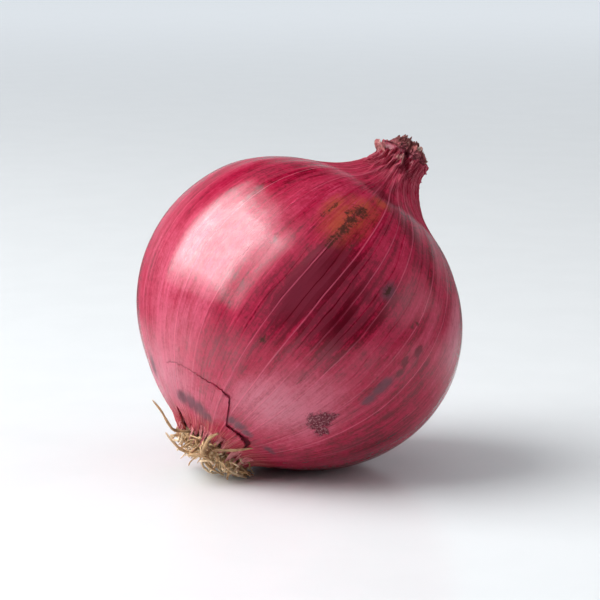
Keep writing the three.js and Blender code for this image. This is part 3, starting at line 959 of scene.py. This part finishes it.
def skin_material():
    """Glossy crimson paper: streaks, vein lines, ochre and brown marks, grey bloom, a scab and dry ends."""
    material, w = new_material("red_skin_paper")
    patterns = SkinPatterns(w)
    rough, coat = skin_gloss(w, patterns)
    feeds = {
        "Base Color": skin_marks(w, patterns, skin_colour(w, patterns)),
        "Roughness": rough,
        "Normal": skin_relief(w, patterns),
        "Specular IOR Level": 0.0,
        "Coat Weight": coat,
        "Coat Roughness": 0.168,
        "Coat IOR": 1.5,
    }
    finish_material(w, feeds)
    return material


# ---------------------------------------------------------------- the bulb and the root plate

BULB_TOP = 46.5


def make_bulb(material):
    """The bulb under the skin: the outline, drawn in by a constant distance and pinched at the neck."""
    turn = np.linspace(0, FULL_TURN, 200, endpoint=False) + FRONT_START
    reach = np.linspace(0, reach_at(BULB_TOP), 110)
    height = outline_at(reach)[1][:, None]
    inset = -SKIN_TO_BULB - 0.25 * smooth_step(33, 42, height) - SKIN_CLEFT * cleft_depth(turn, height)
    rings = round_axis(turn, reach[:, None], inset)
    points, faces = close_ends(rings, rings[[0, -1]].mean(1))
    bulb = add_piece("fleshy_bulb", place(points, SKIN_TO_BULB), faces, material, ["bulb"])
    turns = np.append(np.broadcast_to(turn, rings.shape[:2]).ravel(), [turn[0], turn[0]])
    reaches = np.append(np.repeat(reach, len(turn)), [reach[0], reach[-1]])
    girth_turn = along_vein(turns, outline_at(reaches)[1])
    set_attribute(bulb, "streak", streak_vector(girth_turn, reaches))
    return bulb


PLATE_RADIUS = 8.7
PLATE_THICKNESS = 2.4
PLATE_CROWN = 0.8
PLATE_EDGE = 0.35  # how far its rim bulges
PLATE_UNDER_ROWS = 26


def plate_underside(share):
    """The height of the plate's crowned underside at a share of its radius."""
    return PLATE_TOP_HEIGHT - PLATE_THICKNESS - PLATE_CROWN * (1 - share**2)


def make_root_plate(material):
    """The corky plate under the bulb: a crowned disc with a rounded rim, lumpy with old roots' stumps."""
    turn = np.linspace(0, FULL_TURN, 120, endpoint=False)
    share = np.linspace(0.04, 1, PLATE_UNDER_ROWS)
    under = plate_underside(share)
    side = np.linspace(0, 1, 8)[1:]
    rim = PLATE_RADIUS - PLATE_EDGE + PLATE_EDGE * np.sin(math.pi * side)
    radius = np.concatenate([share * PLATE_RADIUS - PLATE_EDGE, rim, [0.5 * PLATE_RADIUS]])
    rise = under[-1] + side * (PLATE_TOP_HEIGHT - under[-1])
    height = np.concatenate([under, rise, [PLATE_TOP_HEIGHT]])
    lumps = 0.18 * waves(turn, 10 * radius[:, None], (5, 13, 21, 34), (31, 47, 23, 17), 31)
    rings = round_points(radius[:, None] + lumps, turn, height[:, None])
    points, faces = close_ends(rings, [[0, 0, height[0]], [0, 0, height[-1]]])
    x, y = points[:, 0], points[:, 1]
    stumps = 0.35 * waves(np.arctan2(y, x), 9 * np.hypot(x, y), (7, 11, 17), (13, 19, 29), 32)
    lower = np.arange(len(points)) < PLATE_UNDER_ROWS * len(turn)
    points[:, 2] -= lower * np.abs(stumps)
    return add_piece("corky_root_plate", place(points, 0.5), faces, material, ["root_plate"])


# ---------------------------------------------------------------- roots


def tubes(paths, radii, sides):
    """Round strands along paths: rings square to each path, and both of its ends closed.

    A ring lies in the plane of two directions across its path. paths is (strand, place along it, 3) and radii
    (strand, place along it), both in metres.
    """
    run = np.gradient(paths, axis=1)
    run /= np.linalg.norm(run, axis=-1, keepdims=True)
    across = np.cross(paths[:, -1] - paths[:, 0], np.array([0.31, 0.67, 0.67]))[:, None]
    side = across - run * (across * run).sum(-1, keepdims=True)
    side /= np.linalg.norm(side, axis=-1, keepdims=True)
    rise = np.cross(run, side)
    turn = np.linspace(0, FULL_TURN, sides, endpoint=False)[:, None]
    ring = np.cos(turn) * side[:, :, None] + np.sin(turn) * rise[:, :, None]
    points = paths[:, :, None] + radii[:, :, None, None] * ring
    strands, steps = paths.shape[:2]
    base = (np.arange(strands) * steps * sides)[:, None, None]
    quads = (grid_quads(steps, sides) + base).reshape(-1, 4)
    foot = (np.arange(sides)[::-1] + base[:, 0]).tolist()
    head = (np.arange(sides) + (steps - 1) * sides + base[:, 0]).tolist()
    return points.reshape(-1, 3), quads.tolist() + foot + head


def strand_paths(start, end, bend, steps, seed):
    """Curved paths from start to end, one each: they bow by bend and waver from side to side on the way.

    A path is the straight line, plus bend times a half wave, plus three sine waves that grow towards its end.
    """
    rng = np.random.default_rng(seed)
    t = np.linspace(0, 1, steps)[None, :, None]
    waver = 0
    for count, size in ((1.0, 0.9), (2.1, 0.5), (3.7, 0.22)):
        direction = rng.normal(size=(len(start), 1, 3))
        phase = rng.uniform(0, FULL_TURN, (len(start), 1, 1))
        waver = waver + size * direction * (np.sin(math.pi * count * t + phase) - np.sin(phase))
    bow = np.sin(math.pi * t) * bend[:, None]
    return start[:, None] + t * (end - start)[:, None] + bow + 0.75 * waver * t**0.5


LONGEST_LEAN = math.radians(205)  # the roots that lean this way round come out longest


def root_bundle(count, length, spread, seed, steps, outward):
    """Paths of roots that leave the plate all over its underside and fan out as a matted tuft.

    Roots start in a sunflower pattern, closer together at the rim the lower the power outward is; the further
    out they start, the more they lean outwards and the less down.
    """
    rng = np.random.default_rng(seed)
    index = np.arange(count)
    share = ((index + 0.5) / count) ** outward
    angle = index * math.pi * (3 - math.sqrt(5)) + rng.normal(0, 0.15, count)
    radius = share * (PLATE_RADIUS - 0.7)
    start = round_points(radius, angle, plate_underside(share) + 0.2)
    swirl = angle + rng.normal(0.35, 0.55, count)
    long = length * rng.uniform(0.65, 1.2, count)
    lean = np.clip(spread * (0.35 + share) * rng.uniform(0.5, 1.25, count), 0, 0.95)
    out = long * lean * (0.72 - 0.42 * np.cos(swirl - LONGEST_LEAN))
    down = long * np.sqrt(1 - lean**2) * 0.8
    end = start + round_points(out, swirl, -down)
    bend = 0.16 * long[:, None] * rng.normal(size=(count, 3))
    return strand_paths(start, end, bend, steps, seed + 1)


def strand_radii(count, steps, thick, seed):
    """How thick strands are along their length: uneven, and thinner towards the tip."""
    rng = np.random.default_rng(seed)
    t = np.linspace(0, 1, steps)
    size = thick * rng.uniform(0.75, 1.2, (count, 1))
    knots = 1 + 0.12 * np.sin(t * rng.uniform(9, 22, (count, 1)) + rng.uniform(0, 6, (count, 1)))
    return size * knots * (1 - 0.45 * t**2) * np.where(t > 0.985, 0.45, 1.0)


def add_strands(name, paths, radii, sides, material, replaced=()):
    """A piece of strands: paths in the bulb's frame, kept off the ground.

    Each vertex also gets how far along its strand it is, its strand's shade, and how far round the strand.
    """
    placed = place(paths, 0.55)
    points, faces = tubes(placed, UNIT * radii, sides)
    piece = add_piece(name, points, faces, material, replaced)
    strands, steps = paths.shape[:2]
    along = np.linspace(0, 1, steps)[None, :, None]
    shade = np.random.default_rng(len(name) + strands).uniform(0, 1, (strands, 1, 1))
    around = np.abs(2 * np.linspace(0, 1, sides, endpoint=False) - 1)
    set_attribute(piece, "strand", np.stack(np.broadcast_arrays(along, shade, around), -1).reshape(-1, 3))
    return piece


# Longer roots that stand out of the tuft: thickness, and points along each in the bulb's frame.
LONG_ROOTS = (
    (0.36, ((-8.0, -1.5, -39.0), (-11.7, -1.0, -41.0), (-14.1, -1.0, -40.6),
            (-17.2, -0.5, -39.2), (-20.6, 0.0, -38.2))),
    (0.34, ((-4.0, -3.0, -41.0), (-6.0, -3.0, -43.4), (-8.9, -3.0, -44.0),
            (-11.3, -3.0, -43.8), (-14.0, -2.0, -42.8))),
    (0.50, ((-4.5, -7.5, -40.5), (-6.2, -9.2, -42.4), (-7.4, -9.8, -40.6),
            (-7.8, -10.2, -38.6), (-6.9, -11.0, -36.6))),
    (0.38, ((-4.0, -8.0, -40.5), (-4.6, -11.4, -39.8), (-2.2, -13.4, -37.9),
            (-0.2, -14.6, -36.0), (2.2, -15.6, -33.6))),
    (0.34, ((-1.5, -6.5, -40.0), (-0.7, -8.6, -41.4), (1.6, -9.0, -41.9),
            (5.0, -8.2, -41.6), (8.4, -7.4, -40.8))),
    (0.36, ((-5.0, -4.0, -40.0), (-7.6, -6.2, -44.0), (-6.4, -7.8, -43.2),
            (-4.0, -8.4, -42.6), (-1.5, -7.8, -42.9))),
    (0.34, ((-3.5, -3.0, -41.0), (-2.2, -5.0, -43.4), (0.2, -5.4, -43.7),
            (2.4, -5.2, -43.5), (4.3, -4.5, -43.2))),
    (0.34, ((2.0, 6.0, -40.0), (0.5, 8.5, -42.0), (-1.0, 10.5, -42.8),
            (-3.0, 11.5, -42.3), (-5.0, 12.0, -41.2))),
)
ROOT_COUNT = 30  # of the design's own roots
MAT_COUNT = 260


def make_roots(material):
    """The tuft: a strand for each root of the design, finer matted ones between them, and a few long ones."""
    paths = root_bundle(ROOT_COUNT, 5.6, 0.78, 41, 26, 0.5)
    radii = strand_radii(ROOT_COUNT, 26, 0.37, 42)
    for k in range(ROOT_COUNT):
        name, node = f"dried_root_{k + 1:02d}", f"root_{k + 1:02d}"
        add_strands(name, paths[k : k + 1], radii[k : k + 1], 9, material, [node])
    mat = root_bundle(MAT_COUNT, 4.9, 0.95, 51, 18, 0.32)
    add_strands("matted_roots", mat, strand_radii(MAT_COUNT, 18, 0.27, 52), 7, material)
    long = np.stack([smooth_path(points, 34) for _, points in LONG_ROOTS])
    thick = np.array([size for size, _ in LONG_ROOTS])[:, None] * strand_radii(len(LONG_ROOTS), 34, 1.0, 62)
    add_strands("long_roots", long, thick, 9, material)


PAPER_WALL = 0.16
FRINGE_COUNT = 46


def make_root_fringe(material):
    """Torn points of paper that hang from the skin's root edge over the roots, all in one piece.

    Each is a tongue that follows the outline down past its end; it narrows to a point as a power of how far
    down it is, and curls off the outline as the square of that.
    """
    rng = np.random.default_rng(77)
    count, rows, columns = FRINGE_COUNT, 12, 6
    middle = np.linspace(150, 510, count, endpoint=False) + rng.uniform(-3, 3, count)
    middle = np.radians(middle)[:, None, None]
    length = rng.uniform(3.0, 5.6, (count, 1, 1))
    width = rng.uniform(0.13, 0.25, (count, 1, 1))
    curl = rng.uniform(1.2, 3.8, (count, 1, 1))
    lean = rng.uniform(-0.10, 0.10, (count, 1, 1))
    down = np.linspace(0, 1, rows)[None, :, None]
    side = np.linspace(-0.5, 0.5, columns)[None, None, :]
    turn = middle + side * width * np.maximum(1 - down, 0.04) ** 0.75 + lean * down
    reach = 0.8 - length * down + 0 * side
    lift = 0.10 + curl * down**2 + 0.25 * np.abs(side)
    outer = round_axis(turn, reach, lift).reshape(count, -1, 3)
    inner = round_axis(turn, reach, lift - PAPER_WALL).reshape(count, -1, 3)
    points, faces, _ = thicken(outer[0], inner[0], grid_quads(rows, columns, closed=False))
    faces = (faces + (np.arange(count) * len(points))[:, None, None]).reshape(-1, 4).tolist()
    points = np.concatenate([outer, inner], axis=1).reshape(-1, 3)
    fringe = add_piece("root_fringe", place(points), faces, material, ())
    set_attribute(fringe, "streak", points_streak(points))
    rise = np.broadcast_to(0.2 + 0.6 * down, turn.shape).reshape(count, -1)
    set_attribute(fringe, "rise", np.concatenate([rise, rise], axis=1).ravel())


# ---------------------------------------------------------------- the neck's withered leaves

LEAF_FOOT = BULB_TOP + GAP
LEAF_WALL = 0.22
# Each leaf: (radius, middle and width of its arc in degrees, height of its top, how far it leans in).
LEAVES = (
    (5.75, 195, 110, 47.4, 0.34),
    (5.75, 315, 112, 49.6, 0.26),
    (5.75, 75, 112, 48.6, 0.30),
    (4.5, 235, 160, 49.6, 0.30),
    (4.5, 55, 160, 50.2, 0.34),
    (3.3, 180, 300, 50.6, 0.30),
    (2.1, 20, 280, 50.4, 0.30),
)

# Scraps of dry paper on the neck's rim: (middle and width of the arc in degrees, (radius, height) of the
# profile's start, of the two points that pull it, and of its end).
SCRAPS = (
    (174, 64, (4.4, 42.8), (5.4, 44.4), (7.4, 44.3), (7.4, 45.8)),
    (208, 44, (4.8, 43.0), (5.4, 44.8), (5.8, 46.2), (5.0, 47.6)),
    (240, 22, (6.0, 41.5), (6.9, 43.2), (7.3, 44.2), (6.6, 45.3)),
    (338, 46, (5.2, 44.8), (5.9, 46.6), (6.3, 47.8), (5.4, 48.8)),
    (90, 60, (5.2, 43.6), (6.2, 45.6), (7.0, 46.4), (6.4, 47.8)),
)
SCRAP_ROWS = 18
SCRAP_COLUMNS = 40


def make_scrap(number, middle, arc, start, pull, push, end):
    """One scrap: a profile curve turned about the axis over a short arc, narrowing and crumpled by waves."""
    profile = bezier(start, pull, push, end, SCRAP_ROWS)[:, None]
    share = np.linspace(0, 1, SCRAP_ROWS)[:, None]
    across = np.linspace(-0.5, 0.5, SCRAP_COLUMNS)[None, :]
    torn = 1 - 0.45 * share + 0.10 * waves(8 * across, 3 * share, (3, 7, 11), (2, 3, 5), 31 + number)
    turn = math.radians(middle) + across * math.radians(arc) * torn
    crumple = waves(turn, 6 * share, (9, 17, 29), (5, -4, 6), 41 + number)
    radius = profile[..., 0] + 0.45 * crumple * (0.3 + share)
    height = profile[..., 1] + 0.6 * share * ring_waves(turn, (11, 19, 37), 51 + number)
    outer = round_points(radius, turn, height).reshape(-1, 3)
    inner = round_points(radius - PAPER_WALL, turn, height).reshape(-1, 3)
    points, faces, _ = thicken(outer, inner, grid_quads(SCRAP_ROWS, SCRAP_COLUMNS, closed=False))
    rise = np.broadcast_to(0.35 + 0.65 * share, height.shape).ravel()
    return points, faces, np.tile(rise, 2)


def make_scraps(material):
    """Curled scraps of dry paper that stand up from the skin's upper edge, all in one piece."""
    points, faces, rises = zip(*[make_scrap(number, *scrap) for number, scrap in enumerate(SCRAPS)])
    first = np.cumsum([0] + [len(some) for some in points])
    faces = np.vstack([some + start for some, start in zip(faces, first)]).tolist()
    points = np.vstack(points)
    scraps = add_piece("neck_scraps", place(points), faces, material, ())
    set_attribute(scraps, "streak", points_streak(points))
    set_attribute(scraps, "rise", np.concatenate(rises))


def make_leaf(number, radius, middle, arc, top, lean, material):
    """A withered leaf end: a strip round the axis in narrow pleats, ragged on top and leaning inwards."""
    share = np.linspace(0, 1, 30)[:, None]
    turn = math.radians(middle) + np.linspace(-0.5, 0.5, 90)[None, :] * math.radians(arc)
    ragged = 0.9 * ring_waves(turn, (7, 13, 23, 41), 70 + number)
    height = LEAF_FOOT + share * (top + ragged - LEAF_FOOT)
    drift = 0.10 * np.sin(5 * share + 4 * turn + number)
    pleats = folds((17 + number) * (turn + drift) + number)
    crumple = waves(turn, 10 * share, (9, 19, 31), (7, -5, 4), 80 + number)
    r = radius * (1 - lean * share**2.2) + (0.22 * pleats + 0.30 * crumple * share)
    r = r - 1.5 * cleft_depth(turn, height) * (radius / NECK_RADIUS) ** 2
    height = height + 0.35 * share * waves(turn, 6 * share, (15, 27, 39), (5, 4, -6), 90 + number)
    outer = round_points(r, turn, height).reshape(-1, 3)
    inner = round_points(r - LEAF_WALL, turn, height).reshape(-1, 3)
    points, faces, edges = thicken(outer, inner, grid_quads(30, 90, closed=False))
    name, nodes = f"withered_leaf_{number}", [f"neck_leaf_{number}"]
    leaf = add_piece(name, place(points), faces.tolist(), material, nodes, edges)
    streak = streak_vector(turn + 0 * share, height + STREAK_START).reshape(-1, 3)
    set_attribute(leaf, "streak", np.tile(streak, (2, 1)))
    set_attribute(leaf, "rise", np.tile(np.broadcast_to(share, height.shape).ravel(), 2))
    return leaf


# ---------------------------------------------------------------- the other materials


def flesh_material():
    """The moist leaf under the skin: dark maroon with streaks and a satin shine."""
    material, w = new_material("bulb_flesh")
    streaks = w.group(STREAKS, {"Streak": w.attribute("streak"), "Broad": 1.0, "Middle": 1.0, "Fine": 0.6})
    mottle = w.group(MOTTLE, {"Vector": w.here(), "Grain": 0.0008, "Cloud": 0.006})
    tone = w.sway(streaks["Value"], (mottle["Cloud"], 0.3))
    colour = w.mix(w.remap(tone, 0.36, 0.64), rgb(0.07, 0.003, 0.010), rgb(0.26, 0.016, 0.045))
    rough = w.math("MULTIPLY_ADD", mottle["Grain"], 0.25, 0.25)
    normal = w.bump(w.total((mottle["Grain"], 0.00005), (streaks["Fine"], 0.00008)), 0.8)
    finish_material(w, {"Base Color": colour, "Roughness": rough, "Normal": normal, "IOR": 1.45})
    return material


def cork_material():
    """The root plate's dry cork: brown with pale and dark crumbs."""
    material, w = new_material("root_cork")
    mottle = w.group(MOTTLE, {"Vector": w.here(), "Grain": 0.0009, "Cloud": 0.003})
    crumbs = w.remap(mottle["Grain"], 0.38, 0.62)
    colour = w.mix(crumbs, rgb(0.045, 0.022, 0.010), rgb(0.24, 0.135, 0.06))
    colour = w.mix(w.remap(mottle["Cloud"], 0.45, 0.65, 0.0, 0.6), colour, rgb(0.10, 0.045, 0.022))
    normal = w.bump(w.total((mottle["Cloud"], 0.0009), (mottle["Grain"], 0.0007)), 1.0)
    finish_material(w, {"Base Color": colour, "Roughness": 0.85, "Normal": normal})
    return material


def root_material():
    """Dried roots: straw to brown, darker near the plate, paler at the tips, with fibres along them."""
    material, w = new_material("dried_root")
    along, shade, around = w.parts(w.attribute("strand"))[:3]
    mottle = w.group(MOTTLE, {"Vector": w.here(), "Grain": 0.0006, "Cloud": 0.0022})
    tone = w.sway(w.total((shade, 0.45), (along, 0.35)), (mottle["Cloud"], 0.9))
    colour = w.mix(w.remap(tone, 0.0, 0.40), rgb(0.15, 0.068, 0.028), rgb(0.56, 0.35, 0.17))
    colour = w.mix(w.remap(tone, 0.40, 0.85), colour, rgb(0.86, 0.68, 0.46))
    fibre = w.total((mottle["Grain"], 0.9), (around, 0.5))
    colour = w.mix(w.remap(fibre, 0.55, 0.9, 0.0, 0.4), colour, rgb(0.16, 0.085, 0.035))
    normal = w.bump(w.total((mottle["Cloud"], 0.0003), (mottle["Grain"], 0.00035)), 0.9)
    feeds = {"Base Color": colour, "Roughness": 0.68, "Normal": normal, "Specular IOR Level": 0.35}
    finish_material(w, feeds)
    return material


def leaf_material(name, low_dark, low_pale, top_dark, top_pale):
    """Withered leaf: one pair of colours low down and another at the ragged top, with upright fibres."""
    material, w = new_material(name)
    streak = w.attribute("streak")
    rise = w.attribute("rise", "Fac")
    streaks = w.group(STREAKS, {"Streak": streak, "Broad": 0.6, "Middle": 1.0, "Fine": 1.4})
    mottle = w.group(MOTTLE, {"Vector": w.here(), "Grain": 0.0006, "Cloud": 0.002})
    tone = w.sway(streaks["Value"], (mottle["Cloud"], 0.5))
    low = w.mix(w.remap(tone, 0.38, 0.6), low_dark, low_pale)
    top = w.mix(w.remap(tone, 0.36, 0.62), top_dark, top_pale)
    colour = w.mix(w.remap(rise, 0.25, 0.8), low, top)
    cream = w.math("MULTIPLY", w.remap(mottle["Cloud"], 0.54, 0.64), w.remap(rise, 0.6, 0.9))
    colour = w.mix(cream, colour, rgb(0.78, 0.58, 0.48))
    normal = w.bump(w.total((mottle["Cloud"], 0.0006), (streaks["Fine"], 0.0005)), 1.0)
    feeds = {"Base Color": colour, "Roughness": 0.7, "Normal": normal, "Specular IOR Level": 0.35}
    finish_material(w, feeds)
    return material


# ---------------------------------------------------------------- the studio

CAMERA_AZIMUTH = math.radians(-29)
CAMERA_ELEVATION = math.radians(10)
CAMERA_DISTANCE = 0.6
CAMERA_LENS = 148.7
AIM_ABOVE_MIDDLE = 0.00305  # square to the view


def aim_at(thing, towards):
    """Turns a light or camera so that it looks from where it is to a point, with its top upwards."""
    look = Vector(towards) - thing.location
    thing.rotation_euler = look.to_track_quat("-Z", "Y").to_euler()


def view_back():
    """The direction from the onion to the camera."""
    level, up = math.cos(CAMERA_ELEVATION), math.sin(CAMERA_ELEVATION)
    return np.array([math.sin(CAMERA_AZIMUTH) * level, -math.cos(CAMERA_AZIMUTH) * level, up])


def view_right():
    """The direction to the camera's right."""
    return np.array([math.cos(CAMERA_AZIMUTH), math.sin(CAMERA_AZIMUTH), 0.0])


def make_camera():
    """The camera, looking down a little at the onion from its root side."""
    data = bpy.data.cameras.new("camera")
    data.lens = CAMERA_LENS
    data.clip_start = 0.01
    data.clip_end = 50
    camera = bpy.data.objects.new("camera", data)
    bpy.context.scene.collection.objects.link(camera)
    back = view_back()
    aim = MIDDLE + AIM_ABOVE_MIDDLE * np.cross(back, view_right())
    camera.location = aim + CAMERA_DISTANCE * back
    aim_at(camera, aim)
    bpy.context.scene.camera = camera


def make_light(name, left, towards, up, distance, width, height, radiance, tint=(1, 1, 1)):
    """An oblong softbox in a direction given by its shares to the left, towards the camera and up."""
    data = bpy.data.lights.new(name, "AREA")
    data.shape = "RECTANGLE"
    data.size = width
    data.size_y = height
    data.energy = radiance * math.pi * width * height
    data.color = tint
    light = bpy.data.objects.new(name, data)
    bpy.context.scene.collection.objects.link(light)
    front = np.array([math.sin(CAMERA_AZIMUTH), -math.cos(CAMERA_AZIMUTH), 0.0])
    direction = towards * front - left * view_right() + up * np.array([0.0, 0.0, 1.0])
    direction = direction / np.linalg.norm(direction)
    light.location = MIDDLE + distance * direction
    aim_at(light, MIDDLE)
    return light


def make_world():
    """A dim room: even light for matt surfaces; in reflections dark in front, bright behind and beside."""
    world = bpy.data.worlds.new("studio")
    world.use_nodes = True
    world.node_tree.nodes.clear()
    bpy.context.scene.world = world
    w = Wiring(world.node_tree)
    direction = w.node("TexCoord").outputs["Generated"]
    back = tuple(view_back())
    right = tuple(view_right())
    facing = w.node("VectorMath", {0: direction, 1: back}, operation="DOT_PRODUCT").outputs["Value"]
    aside = w.node("VectorMath", {0: direction, 1: right}, operation="DOT_PRODUCT").outputs["Value"]
    behind = w.remap(facing, -0.95, -0.35, 1.0, 0.0)
    beside = w.remap(aside, 0.80, 1.0)
    low = w.remap(w.parts(direction)[2], 0.15, 0.6, 1.0, 0.0)
    seen = w.mix(w.math("MULTIPLY", behind, low), rgb(0.02, 0.02, 0.022), rgb(0.50, 0.53, 0.56))
    seen = w.mix(w.math("MULTIPLY", beside, low), seen, rgb(1.02, 1.07, 1.12))
    matt = w.node("LightPath").outputs["Is Diffuse Ray"]
    colour = w.mix(matt, seen, rgb(0.08, 0.082, 0.086))
    light = w.node("Background", {"Color": colour, "Strength": 1.0})
    w.node("OutputWorld", {"Surface": light.outputs["Background"]})


FLOOR_RADIUS = 6.0
FLOOR_RINGS = 24
FLOOR_SIDES = 96


def make_floor():
    """A pale, level floor: rings of faces round the onion, growing outwards, and one face in their middle."""
    turn = np.linspace(0, FULL_TURN, FLOOR_SIDES, endpoint=False)
    radius = np.geomspace(0.05, FLOOR_RADIUS, FLOOR_RINGS)[:, None]
    points = round_points(radius, turn, 0.0).reshape(-1, 3)
    faces = grid_quads(FLOOR_RINGS, FLOOR_SIDES)[:, ::-1].tolist() + [list(range(FLOOR_SIDES))]
    mesh = bpy.data.meshes.new("floor")
    mesh.from_pydata(points.tolist(), [], faces)
    mesh.materials.append(floor_material())
    floor = bpy.data.objects.new("floor", mesh)
    bpy.context.scene.collection.objects.link(floor)


def floor_material():
    """Smooth pale board with a faint gloss, which far from the onion glows a little with painted light, like
    a backdrop; in reflections it is painted dark away from the onion, as painted shade of an unlit room.
    """
    material, w = new_material("pale_floor")
    here = w.here()
    grain = w.noise(here, 40.0, 3.0)
    colour = w.mix(w.remap(grain, 0.4, 0.6), rgb(0.77, 0.795, 0.81), rgb(0.78, 0.805, 0.82))
    far = w.node("VectorMath", {0: here}, operation="LENGTH").outputs["Value"]
    paths = w.node("LightPath").outputs
    seen = paths["Is Camera Ray"]
    # Painted shade in reflections: glossy rays see the floor go dark from a tenth of a metre out.
    dark_in_reflections = w.math("MULTIPLY", paths["Is Glossy Ray"], w.remap(far, 0.10, 0.26, 0.0, 0.93))
    colour = w.mix(dark_in_reflections, colour, rgb(0.02, 0.02, 0.02))
    glow = w.mix(w.remap(far, 0.15, 2.0), rgb(0, 0, 0), rgb(0.42, 0.45, 0.48))
    feeds = {"Base Color": colour, "Roughness": 0.22, "Specular IOR Level": 0.25}
    finish_material(w, {**feeds, "Emission Color": w.mix(seen, rgb(0, 0, 0), glow), "Emission Strength": 1.0})
    return material


make_camera()
key = make_light("key_softbox", 0.72, 0.08, 0.69, 0.95, 0.95, 0.95, 5.6)
top = make_light("top_softbox", 0.05, 0.0, 1.0, 1.2, 2.0, 2.0, 0.64)
# The shine on the skin: boxes one behind another, the smaller the brighter, and a wide faint one beside them.
SHINE_BOXES = (("shine_softbox", 1.46, 2.9), ("shine_middle", 1.12, 4.8), ("shine_core", 0.88, 6.5))
for name, size, radiance in SHINE_BOXES:
    shine = make_light(name, 0.685, 0.14, 0.68, 0.95 - 0.01 * size, size, size, radiance)
    shine.visible_diffuse = False
right_fill = make_light("right_fill", -0.97, 0.16, 0.26, 1.1, 1.9, 1.4, 0.84, (0.95, 0.97, 1.0))
halo = make_light("shine_halo", 0.50, 0.22, 0.60, 0.95, 1.70, 1.70, 0.5)
halo.visible_diffuse = False
for light in (key, top, right_fill):
    light.visible_glossy = False
make_world()
make_floor()
bpy.context.scene.view_settings.view_transform = "Standard"

make_skin(skin_material())
make_bulb(flesh_material())
make_root_plate(cork_material())
make_roots(root_material())
dry_leaf = leaf_material("withered_leaf", rgb(0.15, 0.010, 0.02), rgb(0.56, 0.12, 0.16),
                         rgb(0.13, 0.014, 0.018), rgb(0.50, 0.14, 0.13))
torn_paper = leaf_material("torn_paper", rgb(0.42, 0.035, 0.06), rgb(0.80, 0.24, 0.27),
                           rgb(0.34, 0.045, 0.06), rgb(0.80, 0.34, 0.32))
for number, leaf in enumerate(LEAVES, 1):
    make_leaf(number, *leaf, dry_leaf)
make_scraps(torn_paper)
make_root_fringe(torn_paper)
